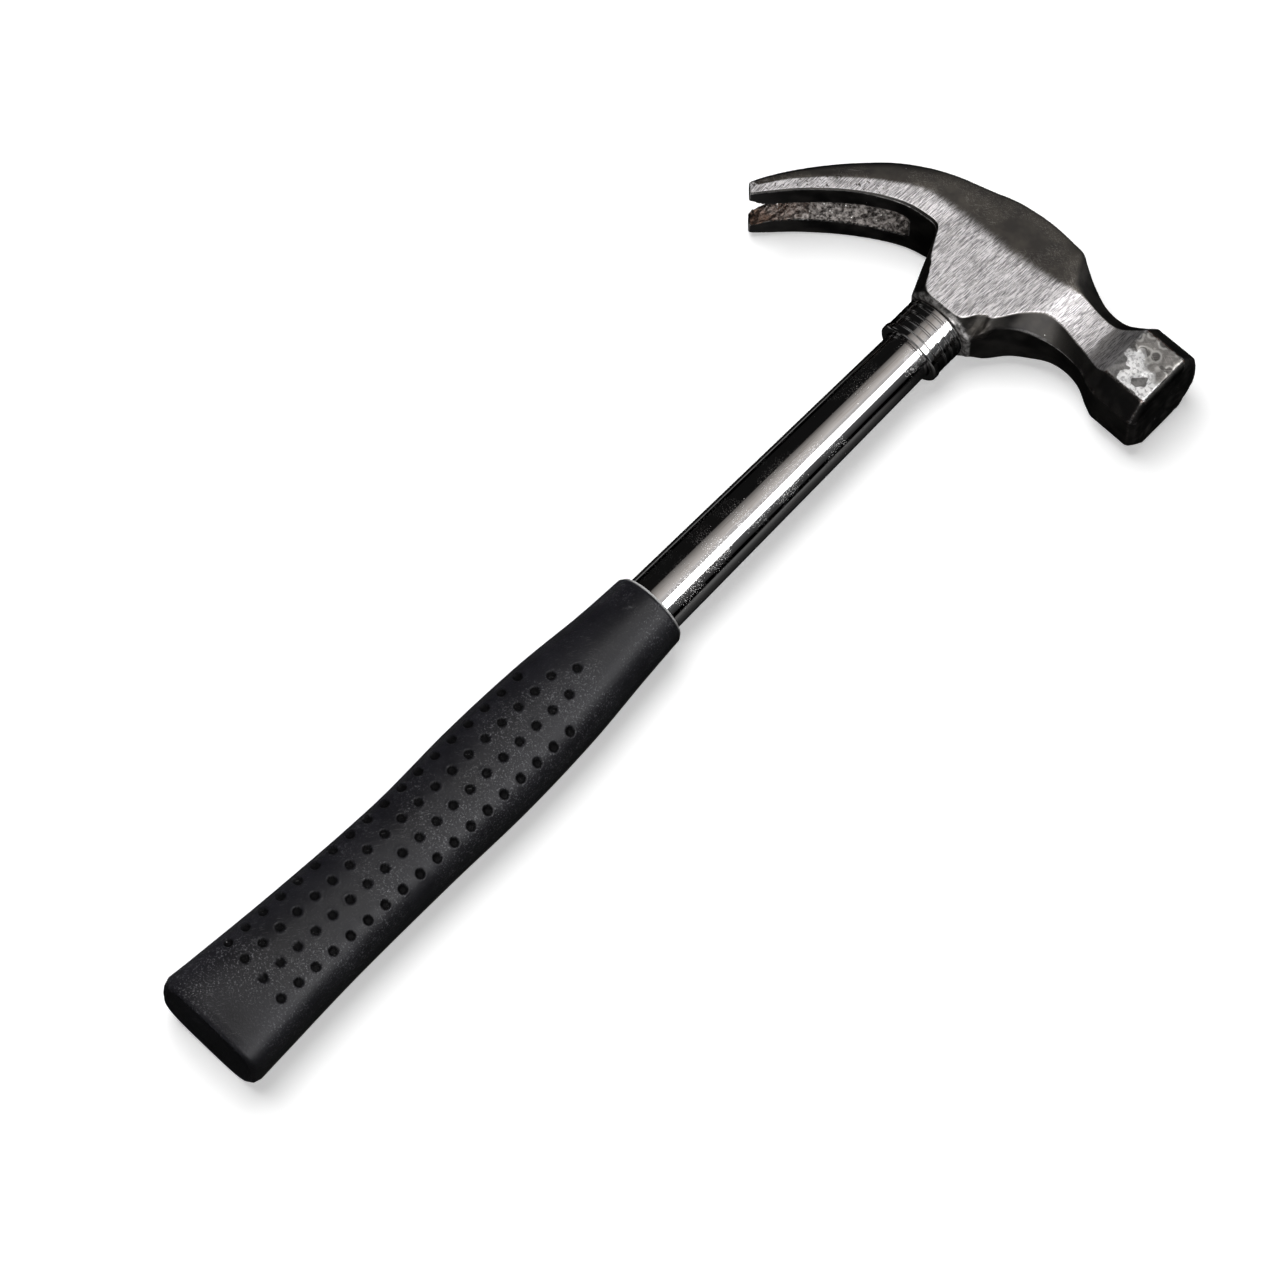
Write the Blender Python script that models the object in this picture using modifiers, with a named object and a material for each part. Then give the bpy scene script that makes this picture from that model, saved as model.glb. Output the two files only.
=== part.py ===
"""Claw hammer with a tubular steel handle, lying on its side on a level surface.

The handle's axis runs along +Y towards the head, the striking face looks along +X,
the claws point to -X and the flat cheeks face up and down (+Z and -Z).
Lengths in this file are in millimetres and become metres where the meshes are made.
While the pieces are drawn, y is measured from the butt of the grip, x from the
handle's axis and z from the mid-plane of the head. At the end everything moves so
that the origin is the middle of the hammer's footprint, on the surface it lies on.
"""
from math import cos, pi, radians, sin

import bmesh
import bpy
from mathutils import Matrix, Vector

MM = 0.001              # one millimetre in metres
GAP = 0.3               # clearance left between pieces that touch
TURN_STEPS = 36         # sides of a turned piece

# Handle tube: a round steel tube, drawn down slightly towards the ferrule.
TUBE_FOOT_Y = 8.0
TUBE_TOP_Y = 322.8
TUBE_GRIP_RADIUS = 9.0
TUBE_FERRULE_RADIUS = 7.55
TUBE_TOP_RADIUS = 5.6   # swaged down inside the head
TUBE_WALL = 1.4

# Rubber grip, moulded over the tube and turned slightly about the handle's axis.
GRIP_LENGTH = 168.6
GRIP_FLOOR = 5.6        # rubber between the butt and the end plug
GRIP_TWIST = radians(8.0)
GRIP_SIDES = 36
# y, half width, half thickness, sideways offset, squareness (2 is an ellipse)
GRIP_SECTIONS = (
    (0.0, 15.7, 12.0, -2.0, 3.8),
    (1.0, 17.0, 12.9, -2.0, 3.9),
    (3.0, 17.6, 13.2, -2.0, 3.9),
    (12.0, 17.1, 13.3, -1.7, 3.3),
    (40.0, 15.6, 12.9, -0.9, 2.7),
    (75.0, 14.7, 12.3, 0.2, 2.5),
    (104.0, 15.2, 12.5, 0.3, 2.4),
    (130.0, 14.4, 12.1, 0.3, 2.3),
    (152.0, 12.5, 11.3, 0.3, 2.1),
    (167.4, 11.5, 10.9, 0.1, 2.0),
    (168.6, 10.7, 10.3, 0.1, 2.0),
)
GRIP_CORNERS = (1, 2, 9)             # sections where the grip's outline has a corner
GRIP_RINGS_PER_SPAN = 2

# Ferrule: a turned collar with grooves, pushed up against the socket.
FERRULE_FOOT_Y = 271.4
FERRULE_TOP_Y = 283.2
FERRULE_RADIUS = 9.65
FERRULE_LIP_RADIUS = 10.0
FERRULE_LIP_HEIGHT = 2.0
FERRULE_EDGE = 0.5      # chamfer on the lip
GROOVE_HEIGHTS = (281.6, 279.0, 276.4)
GROOVE_DEPTH = 0.45
GROOVE_WIDTH = 0.8

# Head: a forging lofted through stations from the claw tips to the striking face.
SOCKET_Y = 283.6        # lower end of the socket that the handle enters
FACE_X = 61.4
CHEEK_Z = 12.2          # half thickness between the flat cheeks
POLL_Z = 14.1           # half thickness of the poll, which the hammer rests on
STATION_STEPS = 2
# Each station: lower point (x, y), upper point (x, y), half thickness, then the lower
# edge's bevel (height, half thickness at its foot) and the upper edge's roll-off
# (height, half thickness at its top, exponent: 1 is a straight bevel).
HEAD_STATIONS = (
    ((-60.9, 273.3), (-63.7, 276.2), 12.3, (0.5, 11.8), (0.9, 11.6, 2.0)),
    ((-57.1, 277.3), (-61.2, 280.7), 12.9, (0.6, 12.3), (1.5, 12.1, 2.0)),
    ((-51.8, 282.9), (-56.8, 287.2), 13.5, (0.6, 12.9), (2.5, 12.4, 2.0)),
    ((-46.2, 287.9), (-51.5, 294.1), 13.9, (0.6, 13.3), (3.8, 12.4, 2.0)),
    ((-40.2, 292.6), (-45.6, 300.8), 14.1, (0.6, 13.5), (5.2, 12.1, 2.0)),
    ((-33.6, 296.7), (-38.5, 308.0), 14.0, (0.7, 13.3), (7.0, 11.4, 2.0)),
    ((-27.2, 299.7), (-30.7, 313.8), 13.6, (0.8, 12.8), (9.5, 10.4, 2.0)),
    ((-21.5, 301.0), (-23.3, 317.7), 12.9, (0.9, 12.0), (12.0, 9.4, 2.0)),
    ((-16.8, 300.9), (-16.2, 320.3), CHEEK_Z, (1.0, 11.3), (14.0, 8.6, 2.0)),
    ((-14.3, 296.2), (-12.6, 321.6), CHEEK_Z, (1.5, 10.6), (16.0, 8.2, 2.0)),
    ((-12.0, 290.0), (-10.2, 322.6), CHEEK_Z, (3.4, 9.0), (17.0, 8.0, 2.0)),
    ((-9.9, SOCKET_Y), (-7.6, 323.4), CHEEK_Z, (6.5, 4.6), (17.5, 8.0, 2.0)),
    ((-6.4, SOCKET_Y), (-4.6, 324.1), CHEEK_Z, (1.6, 9.0), (18.0, 8.0, 2.0)),
    ((0.0, SOCKET_Y), (0.4, 324.8), CHEEK_Z, (1.0, 10.6), (18.0, 8.0, 2.0)),
    ((6.6, SOCKET_Y), (5.4, 325.1), CHEEK_Z, (1.6, 9.4), (18.0, 8.0, 2.0)),
    ((10.6, SOCKET_Y), (9.4, 325.0), CHEEK_Z, (6.0, 5.4), (17.5, 8.0, 2.0)),
    ((13.6, 288.1), (13.0, 324.7), CHEEK_Z, (3.4, 9.0), (16.5, 8.0, 2.0)),
    ((18.0, 293.0), (17.2, 324.1), CHEEK_Z, (4.6, 8.6), (14.5, 8.2, 2.0)),
    ((23.1, 296.1), (20.5, 322.1), 11.9, (6.0, 7.6), (10.0, 7.8, 1.6)),
    ((28.5, 298.2), (25.5, 319.6), 10.3, (5.0, 5.8), (6.4, 5.8, 1.2)),
    ((34.1, 298.7), (32.2, 317.1), 9.1, (3.6, 5.0), (4.4, 4.8, 1.0)),
    ((39.4, 297.8), (38.8, 316.8), 9.3, (3.4, 5.4), (4.2, 5.2, 1.0)),
    ((43.6, 295.7), (43.4, 319.1), 11.4, (4.0, 6.4), (4.6, 5.6, 1.0)),
    ((46.8, 294.4), (46.8, 321.6), POLL_Z, (5.0, 7.4), (5.4, 6.2, 1.0)),
    ((59.9, 294.2), (59.9, 321.6), POLL_Z, (5.0, 7.4), (5.4, 6.2, 1.0)),
    ((FACE_X, 295.5), (FACE_X, 320.3), 12.8, (4.6, 6.9), (5.0, 5.8, 1.0)),
)
LOWER_CORNERS = (11, 15, 23, 24)     # stations where the lower outline has a corner
UPPER_CORNERS = (23, 24)             # and the upper outline
SHAPE_CORNERS = (23, 24)             # and the section itself
CROWN_BULGE = 0.7       # how far the top face stands out along its middle
CROWN_BULGE_SHARE = 0.05             # and its limit as a share of a thin section's height
ROLL_OFF_POINTS = 5     # points from the flat cheek over the upper roll-off

# Nail slot: open to the claw tips, wide on the underside, narrow on the crown side.
SLOT_REACH = 6.25       # station at which the slot ends
# station, half width on the underside, half width on the crown side
SLOT_SECTIONS = (
    (0.0, 7.2, 6.9),
    (0.3, 6.0, 5.6),
    (0.9, 4.8, 4.1),
    (2.0, 4.9, 3.5),
    (4.0, 5.9, 2.7),
    (5.6, 6.3, 1.9),
    (6.1, 5.6, 1.3),
    (SLOT_REACH, 4.2, 0.6),
)
SLOT_OVERSHOOT = 6.0    # how far the cutter stands out beyond both faces
SLOT_LEAST = 0.3        # least half width of the cutter, above the crown

# Eye: the round hole through the head that holds the tube and its bonding resin.
BOND_THICKNESS = 0.4
EYE_CLEARANCE = GAP + BOND_THICKNESS + GAP
BOND_FOOT_Y = 284.6
BOND_TOP_Y = 322.2
CUT_OVERSHOOT = 6.0     # how far a cutter reaches beyond the surface that it opens

# Steel expander driven into the top of the tube, and the plastic plug in its foot.
WEDGE_FOOT_Y = 304.0
WEDGE_TOP_Y = 322.0
WEDGE_TAPER = 0.35      # how much slimmer the expander's foot is than its top
WEDGE_EDGE = 0.7        # chamfer round the top and the foot
PLUG_FLANGE_Y = 6.0
PLUG_STEM_TOP_Y = 24.0
PLUG_STEM_LEAD = 1.2    # chamfer that leads the stem into the tube
PLUG_FLANGE_EDGE = 0.5
PLUG_RIBS = 3
PLUG_RIB_PITCH = 4.0
PLUG_RIB_DEPTH = 0.5
PLUG_RIB_SLOPE = 0.3

# name: colour, metallic, roughness
FINISHES = {
    "forged_steel": ((0.16, 0.15, 0.15), 1.0, 0.38),
    "chromed_steel": ((0.72, 0.72, 0.73), 1.0, 0.08),
    "chromed_collar": ((0.66, 0.66, 0.68), 1.0, 0.14),
    "black_rubber": ((0.022, 0.022, 0.025), 0.0, 0.62),
    "bonding_resin": ((0.09, 0.07, 0.05), 0.0, 0.45),
    "expander_steel": ((0.35, 0.34, 0.33), 1.0, 0.42),
    "plug_plastic": ((0.05, 0.05, 0.06), 0.0, 0.5),
}


def clear_scene():
    """Remove every object that the file opened with."""
    for obj in list(bpy.data.objects):
        bpy.data.objects.remove(obj, do_unlink=True)


def make_material(name):
    """Principled material for one finish."""
    colour, metallic, roughness = FINISHES[name]
    material = bpy.data.materials.new(name)
    material.use_nodes = True
    shader = material.node_tree.nodes["Principled BSDF"]
    shader.inputs["Base Color"].default_value = (*colour, 1.0)
    shader.inputs["Metallic"].default_value = metallic
    shader.inputs["Roughness"].default_value = roughness
    return material


def add_object(name, mesh, collection, parent, finish=None):
    """Put a mesh in a collection as a named object that rides on the parent."""
    obj = bpy.data.objects.new(name, mesh)
    obj.parent = parent
    collection.objects.link(obj)
    if finish:
        mesh.materials.append(make_material(finish))
        mesh.shade_smooth()
        mesh.set_sharp_from_angle(angle=radians(32.0))
    else:
        obj.hide_render = True
        obj.display_type = "WIRE"
    return obj


def loft_mesh(name, rings):
    """Closed mesh through rings of points given in millimetres, capped at both ends."""
    mesh_data = bmesh.new()
    loops = [[mesh_data.verts.new(Vector(point) * MM) for point in ring] for ring in rings]
    count = len(rings[0])
    for near, far in zip(loops, loops[1:]):
        for i in range(count):
            j = (i + 1) % count
            mesh_data.faces.new((near[i], near[j], far[j], far[i]))
    mesh_data.faces.new(loops[0])
    mesh_data.faces.new(list(reversed(loops[-1])))
    bmesh.ops.recalc_face_normals(mesh_data, faces=mesh_data.faces)
    mesh = bpy.data.meshes.new(name)
    mesh_data.to_mesh(mesh)
    mesh_data.free()
    return mesh


def turned_object(name, profile, collection, parent, finish=None):
    """Solid turned about the handle's axis from a profile of (radius, y) points.

    A profile runs down the outer side, so its first points have the highest y. The
    points are drawn with the axis along Z, and the object is then laid along Y.
    """
    mesh = bpy.data.meshes.new(name)
    on_axis = profile[0][0] == 0.0
    count = len(profile)
    edges = [(i, i + 1) for i in range(count - 1)]
    if not on_axis:
        edges.append((count - 1, 0))
    mesh.from_pydata([(radius * MM, 0.0, y * MM) for radius, y in profile], edges, [])
    obj = add_object(name, mesh, collection, parent, finish)
    obj.rotation_euler = (-pi / 2, 0.0, 0.0)
    screw = obj.modifiers.new("turn", "SCREW")
    screw.steps = TURN_STEPS
    screw.render_steps = TURN_STEPS
    screw.use_merge_vertices = True
    screw.merge_threshold = 0.00001
    screw.use_smooth_shade = True
    return obj


def cut(obj, cutter):
    """Subtract a cutter from an object."""
    boolean = obj.modifiers.new(cutter.name, "BOOLEAN")
    boolean.operation = "DIFFERENCE"
    boolean.solver = "EXACT"
    boolean.object = cutter


def smooth_value(values, position, corners=()):
    """Value at a fractional station of the smooth curve through all the values.

    The curve is a cubic through every value, with a kink at each corner station.
    """
    last = len(values) - 1
    index = min(int(position), last - 1)
    t = position - index
    start, end = values[index], values[index + 1]
    slope_in = end - start
    slope_out = end - start
    if index > 0 and index not in corners:
        slope_in = (end - values[index - 1]) / 2
    if index + 1 < last and index + 1 not in corners:
        slope_out = (values[index + 2] - start) / 2
    return (
        start * (2 * t**3 - 3 * t**2 + 1)
        + slope_in * (t**3 - 2 * t**2 + t)
        + end * (3 * t**2 - 2 * t**3)
        + slope_out * (t**3 - t**2)
    )


def linear_value(pairs, position):
    """Value between (position, value) pairs, joined by straight lines."""
    for (low, value), (high, next_value) in zip(pairs, pairs[1:]):
        if position <= high:
            share = (position - low) / (high - low)
            return value + (next_value - value) * share
    return pairs[-1][1]


def head_station(position):
    """Lower point, upper point and section sizes at a fractional station."""
    lower = smooth_value([Vector(s[0]) for s in HEAD_STATIONS], position, LOWER_CORNERS)
    upper = smooth_value([Vector(s[1]) for s in HEAD_STATIONS], position, UPPER_CORNERS)
    sizes = [(s[2], *s[3], *s[4]) for s in HEAD_STATIONS]
    shape = [
        smooth_value([size[k] for size in sizes], position, SHAPE_CORNERS)
        for k in range(len(sizes[0]))
    ]
    return lower, upper, shape


def head_ring(position):
    """Closed ring of points round the head at a fractional station."""
    lower, upper, shape = head_station(position)
    half, low_height, low_half, top_height, top_half, exponent = shape
    up = upper - lower
    height = up.length
    up /= height
    side = [(0.0, low_half), (low_height, half)]
    for i in range(ROLL_OFF_POINTS):
        share = i / (ROLL_OFF_POINTS - 1)
        drop = (half - top_half) * share**exponent
        side.append((height - top_height * (1 - share), half - drop))
    crown = (height + min(CROWN_BULGE, CROWN_BULGE_SHARE * height), 0.0)
    outline = [(0.0, 0.0)] + side + [crown] + [(v, -z) for v, z in reversed(side)]
    return [(*(lower + up * v), z) for v, z in outline]


def make_head(collection, cutters, parent):
    """Forged head: claws, cheeks, socket, neck and poll, with its slot and its eye."""
    steps = (len(HEAD_STATIONS) - 1) * STATION_STEPS
    rings = [head_ring(i / STATION_STEPS) for i in range(steps + 1)]
    head = add_object("head", loft_mesh("head", rings), collection, parent, "forged_steel")
    slot = add_object("nail_slot", loft_mesh("nail_slot", slot_rings()), cutters, parent)
    cut(head, slot)
    eye_foot = FERRULE_TOP_Y - CUT_OVERSHOOT
    eye_profile = [
        (0.0, TUBE_TOP_Y + CUT_OVERSHOOT),
        (eye_radius(TUBE_TOP_Y), TUBE_TOP_Y + CUT_OVERSHOOT),
        (eye_radius(TUBE_TOP_Y), TUBE_TOP_Y),
        (eye_radius(FERRULE_TOP_Y), FERRULE_TOP_Y),
        (eye_radius(FERRULE_TOP_Y), eye_foot),
        (0.0, eye_foot),
    ]
    cut(head, turned_object("eye", eye_profile, cutters, parent))
    return head


def slot_rings():
    """Rings of the nail slot's cutter, from outside the tips to the slot's end."""
    sections = [SLOT_SECTIONS[0]]
    for section in SLOT_SECTIONS[1:]:
        middle = [(near + far) / 2 for near, far in zip(sections[-1], section)]
        sections += [middle, section]
    rings = []
    for position, wide, narrow in sections:
        lower, upper, _ = head_station(position)
        reach = (upper - lower).normalized() * SLOT_OVERSHOOT
        flare = (wide - narrow) / (upper - lower).length * SLOT_OVERSHOOT
        wide += flare
        narrow = max(narrow - flare, SLOT_LEAST)
        foot = lower - reach
        top = upper + reach
        rings.append([(*foot, wide), (*foot, -wide), (*top, -narrow), (*top, narrow)])
    lower, upper, _ = head_station(0.0)
    ahead = Matrix.Rotation(pi / 2, 2) @ (upper - lower).normalized() * SLOT_OVERSHOOT
    first = [(x + ahead.x, y + ahead.y, z) for x, y, z in rings[0]]
    return [first] + rings


def tube_radius(y):
    """Outer radius of the handle tube at a height y."""
    return linear_value(
        [
            (TUBE_FOOT_Y, TUBE_GRIP_RADIUS),
            (GRIP_LENGTH, TUBE_GRIP_RADIUS),
            (FERRULE_FOOT_Y, TUBE_FERRULE_RADIUS),
            (FERRULE_TOP_Y, TUBE_FERRULE_RADIUS),
            (TUBE_TOP_Y, TUBE_TOP_RADIUS),
        ],
        y,
    )


def eye_radius(y):
    """Radius of the head's eye at a height y."""
    return tube_radius(y) + EYE_CLEARANCE


def make_tube(collection, parent):
    """Handle tube, open at both ends."""
    heights = (TUBE_TOP_Y, FERRULE_TOP_Y, FERRULE_FOOT_Y, GRIP_LENGTH, TUBE_FOOT_Y)
    outer = [(tube_radius(y), y) for y in heights]
    inner = [(tube_radius(y) - TUBE_WALL, y) for y in reversed(heights)]
    return turned_object("shaft_tube", outer + inner, collection, parent, "chromed_steel")


def make_ferrule(collection, parent):
    """Collar with turned grooves, and a lip round its foot."""
    bore = TUBE_FERRULE_RADIUS + GAP
    groove_floor = FERRULE_RADIUS - GROOVE_DEPTH
    lip_top = FERRULE_FOOT_Y + FERRULE_LIP_HEIGHT
    profile = [(FERRULE_RADIUS, FERRULE_TOP_Y)]
    for y in GROOVE_HEIGHTS:
        profile += [
            (FERRULE_RADIUS, y + GROOVE_WIDTH / 2),
            (groove_floor, y + GROOVE_WIDTH / 4),
            (groove_floor, y - GROOVE_WIDTH / 4),
            (FERRULE_RADIUS, y - GROOVE_WIDTH / 2),
        ]
    profile += [
        (FERRULE_RADIUS, lip_top + FERRULE_EDGE),
        (FERRULE_LIP_RADIUS, lip_top),
        (FERRULE_LIP_RADIUS, FERRULE_FOOT_Y + FERRULE_EDGE),
        (FERRULE_LIP_RADIUS - FERRULE_EDGE, FERRULE_FOOT_Y),
        (bore, FERRULE_FOOT_Y),
        (bore, FERRULE_TOP_Y),
    ]
    return turned_object("ferrule", profile, collection, parent, "chromed_collar")


def make_bond(collection, parent):
    """Resin sleeve that fills the eye round the tube."""
    heights = (BOND_TOP_Y, BOND_FOOT_Y)
    outer = [(eye_radius(y) - GAP, y) for y in heights]
    inner = [(tube_radius(y) + GAP, y) for y in reversed(heights)]
    return turned_object("eye_bond", outer + inner, collection, parent, "bonding_resin")


def make_wedge(collection, parent):
    """Tapered round steel expander inside the top of the tube."""
    top = tube_radius(TUBE_TOP_Y) - TUBE_WALL - GAP
    foot = top - WEDGE_TAPER
    profile = [
        (0.0, WEDGE_TOP_Y),
        (top - WEDGE_EDGE, WEDGE_TOP_Y),
        (top, WEDGE_TOP_Y - WEDGE_EDGE),
        (foot, WEDGE_FOOT_Y + WEDGE_EDGE),
        (foot - WEDGE_EDGE, WEDGE_FOOT_Y),
        (0.0, WEDGE_FOOT_Y),
    ]
    return turned_object("eye_wedge", profile, collection, parent, "expander_steel")


def make_end_plug(collection, parent):
    """Ribbed plastic plug that closes the foot of the tube under the grip."""
    stem = TUBE_GRIP_RADIUS - TUBE_WALL - GAP
    groove = stem - PLUG_RIB_DEPTH
    profile = [(0.0, PLUG_STEM_TOP_Y), (stem - PLUG_STEM_LEAD, PLUG_STEM_TOP_Y)]
    for i in range(PLUG_RIBS):
        rib_top = PLUG_STEM_TOP_Y - PLUG_STEM_LEAD - i * PLUG_RIB_PITCH
        rib_foot = rib_top - PLUG_RIB_PITCH / 2
        profile += [
            (stem, rib_top),
            (stem, rib_foot),
            (groove, rib_foot - PLUG_RIB_SLOPE),
            (groove, rib_top - PLUG_RIB_PITCH + PLUG_RIB_SLOPE),
        ]
    profile += [
        (stem, PLUG_STEM_TOP_Y - PLUG_STEM_LEAD - PLUG_RIBS * PLUG_RIB_PITCH),
        (stem, TUBE_FOOT_Y - GAP),
        (TUBE_GRIP_RADIUS, TUBE_FOOT_Y - GAP),
        (TUBE_GRIP_RADIUS, PLUG_FLANGE_Y + PLUG_FLANGE_EDGE),
        (TUBE_GRIP_RADIUS - PLUG_FLANGE_EDGE, PLUG_FLANGE_Y),
        (0.0, PLUG_FLANGE_Y),
    ]
    return turned_object("shaft_end_plug", profile, collection, parent, "plug_plastic")


def grip_ring(position):
    """Rounded ring of points round the grip at a fractional section."""
    columns = list(zip(*GRIP_SECTIONS))
    y, width, thickness, offset, squareness = [
        smooth_value(column, position, GRIP_CORNERS) for column in columns
    ]
    ring = []
    for i in range(GRIP_SIDES):
        angle = 2 * pi * (i + 0.5) / GRIP_SIDES
        across = abs(cos(angle)) ** (2 / squareness) * (1 if cos(angle) > 0 else -1)
        above = abs(sin(angle)) ** (2 / squareness) * (1 if sin(angle) > 0 else -1)
        x = width * across
        z = thickness * above
        ring.append((
            offset + x * cos(GRIP_TWIST) + z * sin(GRIP_TWIST),
            y,
            z * cos(GRIP_TWIST) - x * sin(GRIP_TWIST),
        ))
    return ring


def make_grip(collection, cutters, parent):
    """Rubber grip: a sleeve closed at the butt and open where the tube comes out."""
    steps = (len(GRIP_SECTIONS) - 1) * GRIP_RINGS_PER_SPAN
    rings = [grip_ring(i / GRIP_RINGS_PER_SPAN) for i in range(steps + 1)]
    grip = add_object("grip", loft_mesh("grip", rings), collection, parent, "black_rubber")
    bore = TUBE_GRIP_RADIUS + GAP
    top = GRIP_LENGTH + CUT_OVERSHOOT
    profile = [(0.0, top), (bore, top), (bore, GRIP_FLOOR), (0.0, GRIP_FLOOR)]
    cut(grip, turned_object("grip_bore", profile, cutters, parent))
    return grip


def evaluated_bounds(objects):
    """Lowest and highest corners of the finished objects, in metres."""
    bpy.context.view_layer.update()
    graph = bpy.context.evaluated_depsgraph_get()
    points = []
    for obj in objects:
        finished = obj.evaluated_get(graph)
        mesh = finished.to_mesh()
        points += [finished.matrix_world @ vertex.co for vertex in mesh.vertices]
        finished.to_mesh_clear()
    low = Vector([min(point[k] for point in points) for k in range(3)])
    high = Vector([max(point[k] for point in points) for k in range(3)])
    return low, high


def build():
    """Make every piece, then set the hammer down on its side at the origin."""
    clear_scene()
    hammer = bpy.data.collections.new("claw_hammer")
    cutters = bpy.data.collections.new("claw_hammer_cutters")
    for collection in (hammer, cutters):
        bpy.context.scene.collection.children.link(collection)
    origin = bpy.data.objects.new("hammer_origin", None)
    hammer.objects.link(origin)
    pieces = [
        make_head(hammer, cutters, origin),
        make_tube(hammer, origin),
        make_ferrule(hammer, origin),
        make_bond(hammer, origin),
        make_wedge(hammer, origin),
        make_end_plug(hammer, origin),
        make_grip(hammer, cutters, origin),
    ]
    low, high = evaluated_bounds(pieces)
    middle = (low + high) / 2
    origin.matrix_world = Matrix.Translation((-middle.x, -middle.y, -low.z))
    bpy.context.view_layer.update()


build()
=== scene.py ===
import math

import bmesh
import bpy
import numpy as np
from mathutils import Matrix, Vector, noise


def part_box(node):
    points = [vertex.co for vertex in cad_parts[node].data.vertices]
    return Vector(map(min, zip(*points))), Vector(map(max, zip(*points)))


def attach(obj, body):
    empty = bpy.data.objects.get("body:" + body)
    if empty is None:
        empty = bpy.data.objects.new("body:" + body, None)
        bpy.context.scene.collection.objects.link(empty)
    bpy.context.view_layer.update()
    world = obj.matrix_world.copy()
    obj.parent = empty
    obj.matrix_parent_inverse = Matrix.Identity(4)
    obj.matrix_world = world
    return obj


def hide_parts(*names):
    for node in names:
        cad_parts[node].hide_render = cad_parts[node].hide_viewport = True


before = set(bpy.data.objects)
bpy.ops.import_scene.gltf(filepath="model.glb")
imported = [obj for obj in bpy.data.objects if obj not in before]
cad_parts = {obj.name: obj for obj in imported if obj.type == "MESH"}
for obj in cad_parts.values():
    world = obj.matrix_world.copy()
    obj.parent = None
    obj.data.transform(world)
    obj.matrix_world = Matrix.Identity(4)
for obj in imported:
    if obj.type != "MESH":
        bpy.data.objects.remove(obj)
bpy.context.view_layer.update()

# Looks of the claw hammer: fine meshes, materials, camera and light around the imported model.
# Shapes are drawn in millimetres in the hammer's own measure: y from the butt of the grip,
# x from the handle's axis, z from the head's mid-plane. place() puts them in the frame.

MM = 0.001

# Where the drawing's zero lies in the frame: on the tube's axis, level with the butt.
TUBE_LOW, TUBE_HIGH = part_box("shaft_tube")
GRIP_LOW, GRIP_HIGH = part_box("grip")
FERRULE_LOW, FERRULE_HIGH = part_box("ferrule")
ORIGIN = np.array([
    (TUBE_LOW.x + TUBE_HIGH.x) / 2,
    GRIP_LOW.y,
    (TUBE_LOW.z + TUBE_HIGH.z) / 2,
])


def drawn_y(height):
    """A height in the frame, in metres, as a drawn y in millimetres."""
    return (height - ORIGIN[1]) / MM


# Handle tube, grip and ferrule, with the CAD model's dimensions.
GAP = 0.3
TUBE_FOOT_Y = drawn_y(TUBE_LOW.y)
TUBE_TOP_Y = drawn_y(TUBE_HIGH.y)
TUBE_GRIP_RADIUS = 9.0
TUBE_FERRULE_RADIUS = 7.55
TUBE_TOP_RADIUS = 5.6
TUBE_WALL = 1.4
TUBE_EASING = 0.25      # how far the corners of the tube and the ferrule are eased
FERRULE_EASING = 0.16
TUBE_RINGS = 12
GRIP_LENGTH = drawn_y(GRIP_HIGH.y)
GRIP_FLOOR = 5.6
GRIP_TWIST = math.radians(8.0)
# y, half width, half thickness, sideways offset, squareness (2 is an ellipse)
GRIP_SECTIONS = np.array([
    (0.0, 15.7, 12.0, -2.0, 3.8),
    (1.0, 17.0, 12.9, -2.0, 3.9),
    (3.0, 17.6, 13.2, -2.0, 3.9),
    (12.0, 17.1, 13.3, -1.7, 3.3),
    (40.0, 15.6, 12.9, -0.9, 2.7),
    (75.0, 14.7, 12.3, 0.2, 2.5),
    (104.0, 15.2, 12.5, 0.3, 2.4),
    (130.0, 14.4, 12.1, 0.3, 2.3),
    (152.0, 12.5, 11.3, 0.3, 2.1),
    (167.4, 11.5, 10.9, 0.1, 2.0),
    (168.6, 10.7, 10.3, 0.1, 2.0),
])
GRIP_CORNERS = (1, 2, 9)
FERRULE_FOOT_Y = drawn_y(FERRULE_LOW.y)
FERRULE_TOP_Y = drawn_y(FERRULE_HIGH.y)
FERRULE_RADIUS = 9.65
FERRULE_LIP_RADIUS = 10.0
FERRULE_LIP_HEIGHT = 2.0
FERRULE_EDGE = 0.5
GROOVE_HEIGHTS = (281.6, 279.0, 276.4)
GROOVE_DEPTH = 0.45
GROOVE_WIDTH = 0.8
TURN_STEPS = 192

# Dimples of the grip: rows along the handle, by their distance across from its middle.
DIMPLE_ROWS = ((8.8, 18), (1.65, 19), (-5.35, 19), (-11.7, 18))
DIMPLE_FIRST_Y = 18.7
DIMPLE_PITCH = 6.29
DIMPLE_DRIFT = 0.0145   # sideways drift of the rows for each millimetre of height
DIMPLE_SKEW = -0.065    # how much lower a row starts for each millimetre across
DIMPLE_MIDDLE_Y = 75.0
DIMPLE_LAST = (-1.0, 138.8)
DIMPLE_RADIUS = 1.45
DIMPLE_DEPTH = 1.25
DIMPLE_RIM = 0.15       # height of the lip round a dimple
RIM_HIGHLIGHT_RANGE = (167.8, 168.4)    # y over which the painted highlight on the mouth's rim sets in
MOULD_LINE = 0.08       # height of the seam along the grip's two sides
MOULD_LINE_Y = 4.0      # where that seam starts
GRIP_FINE_STEP = 0.4
GRIP_COARSE_STEP = 1.1
GRIP_WAIST = 5          # the section whose outline sets the steps round the grip
ANGLES_TRIED = 4000
DIMPLED_FACE = (14.0, 13.0)    # distance across at which the fine steps set in
TILT_RANGE = (10.0, 15.0)      # and at which relief starts to stand out sideways
MOUTH_EDGE = 0.5        # the mouth's bore starts this much below its rim
MOUTH_DEPTH = 4.0

# Head, with the CAD model's stations.
SOCKET_Y = 283.6
FACE_X = 61.4
CHEEK_Z = 12.2
POLL_Z = 14.1
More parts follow.
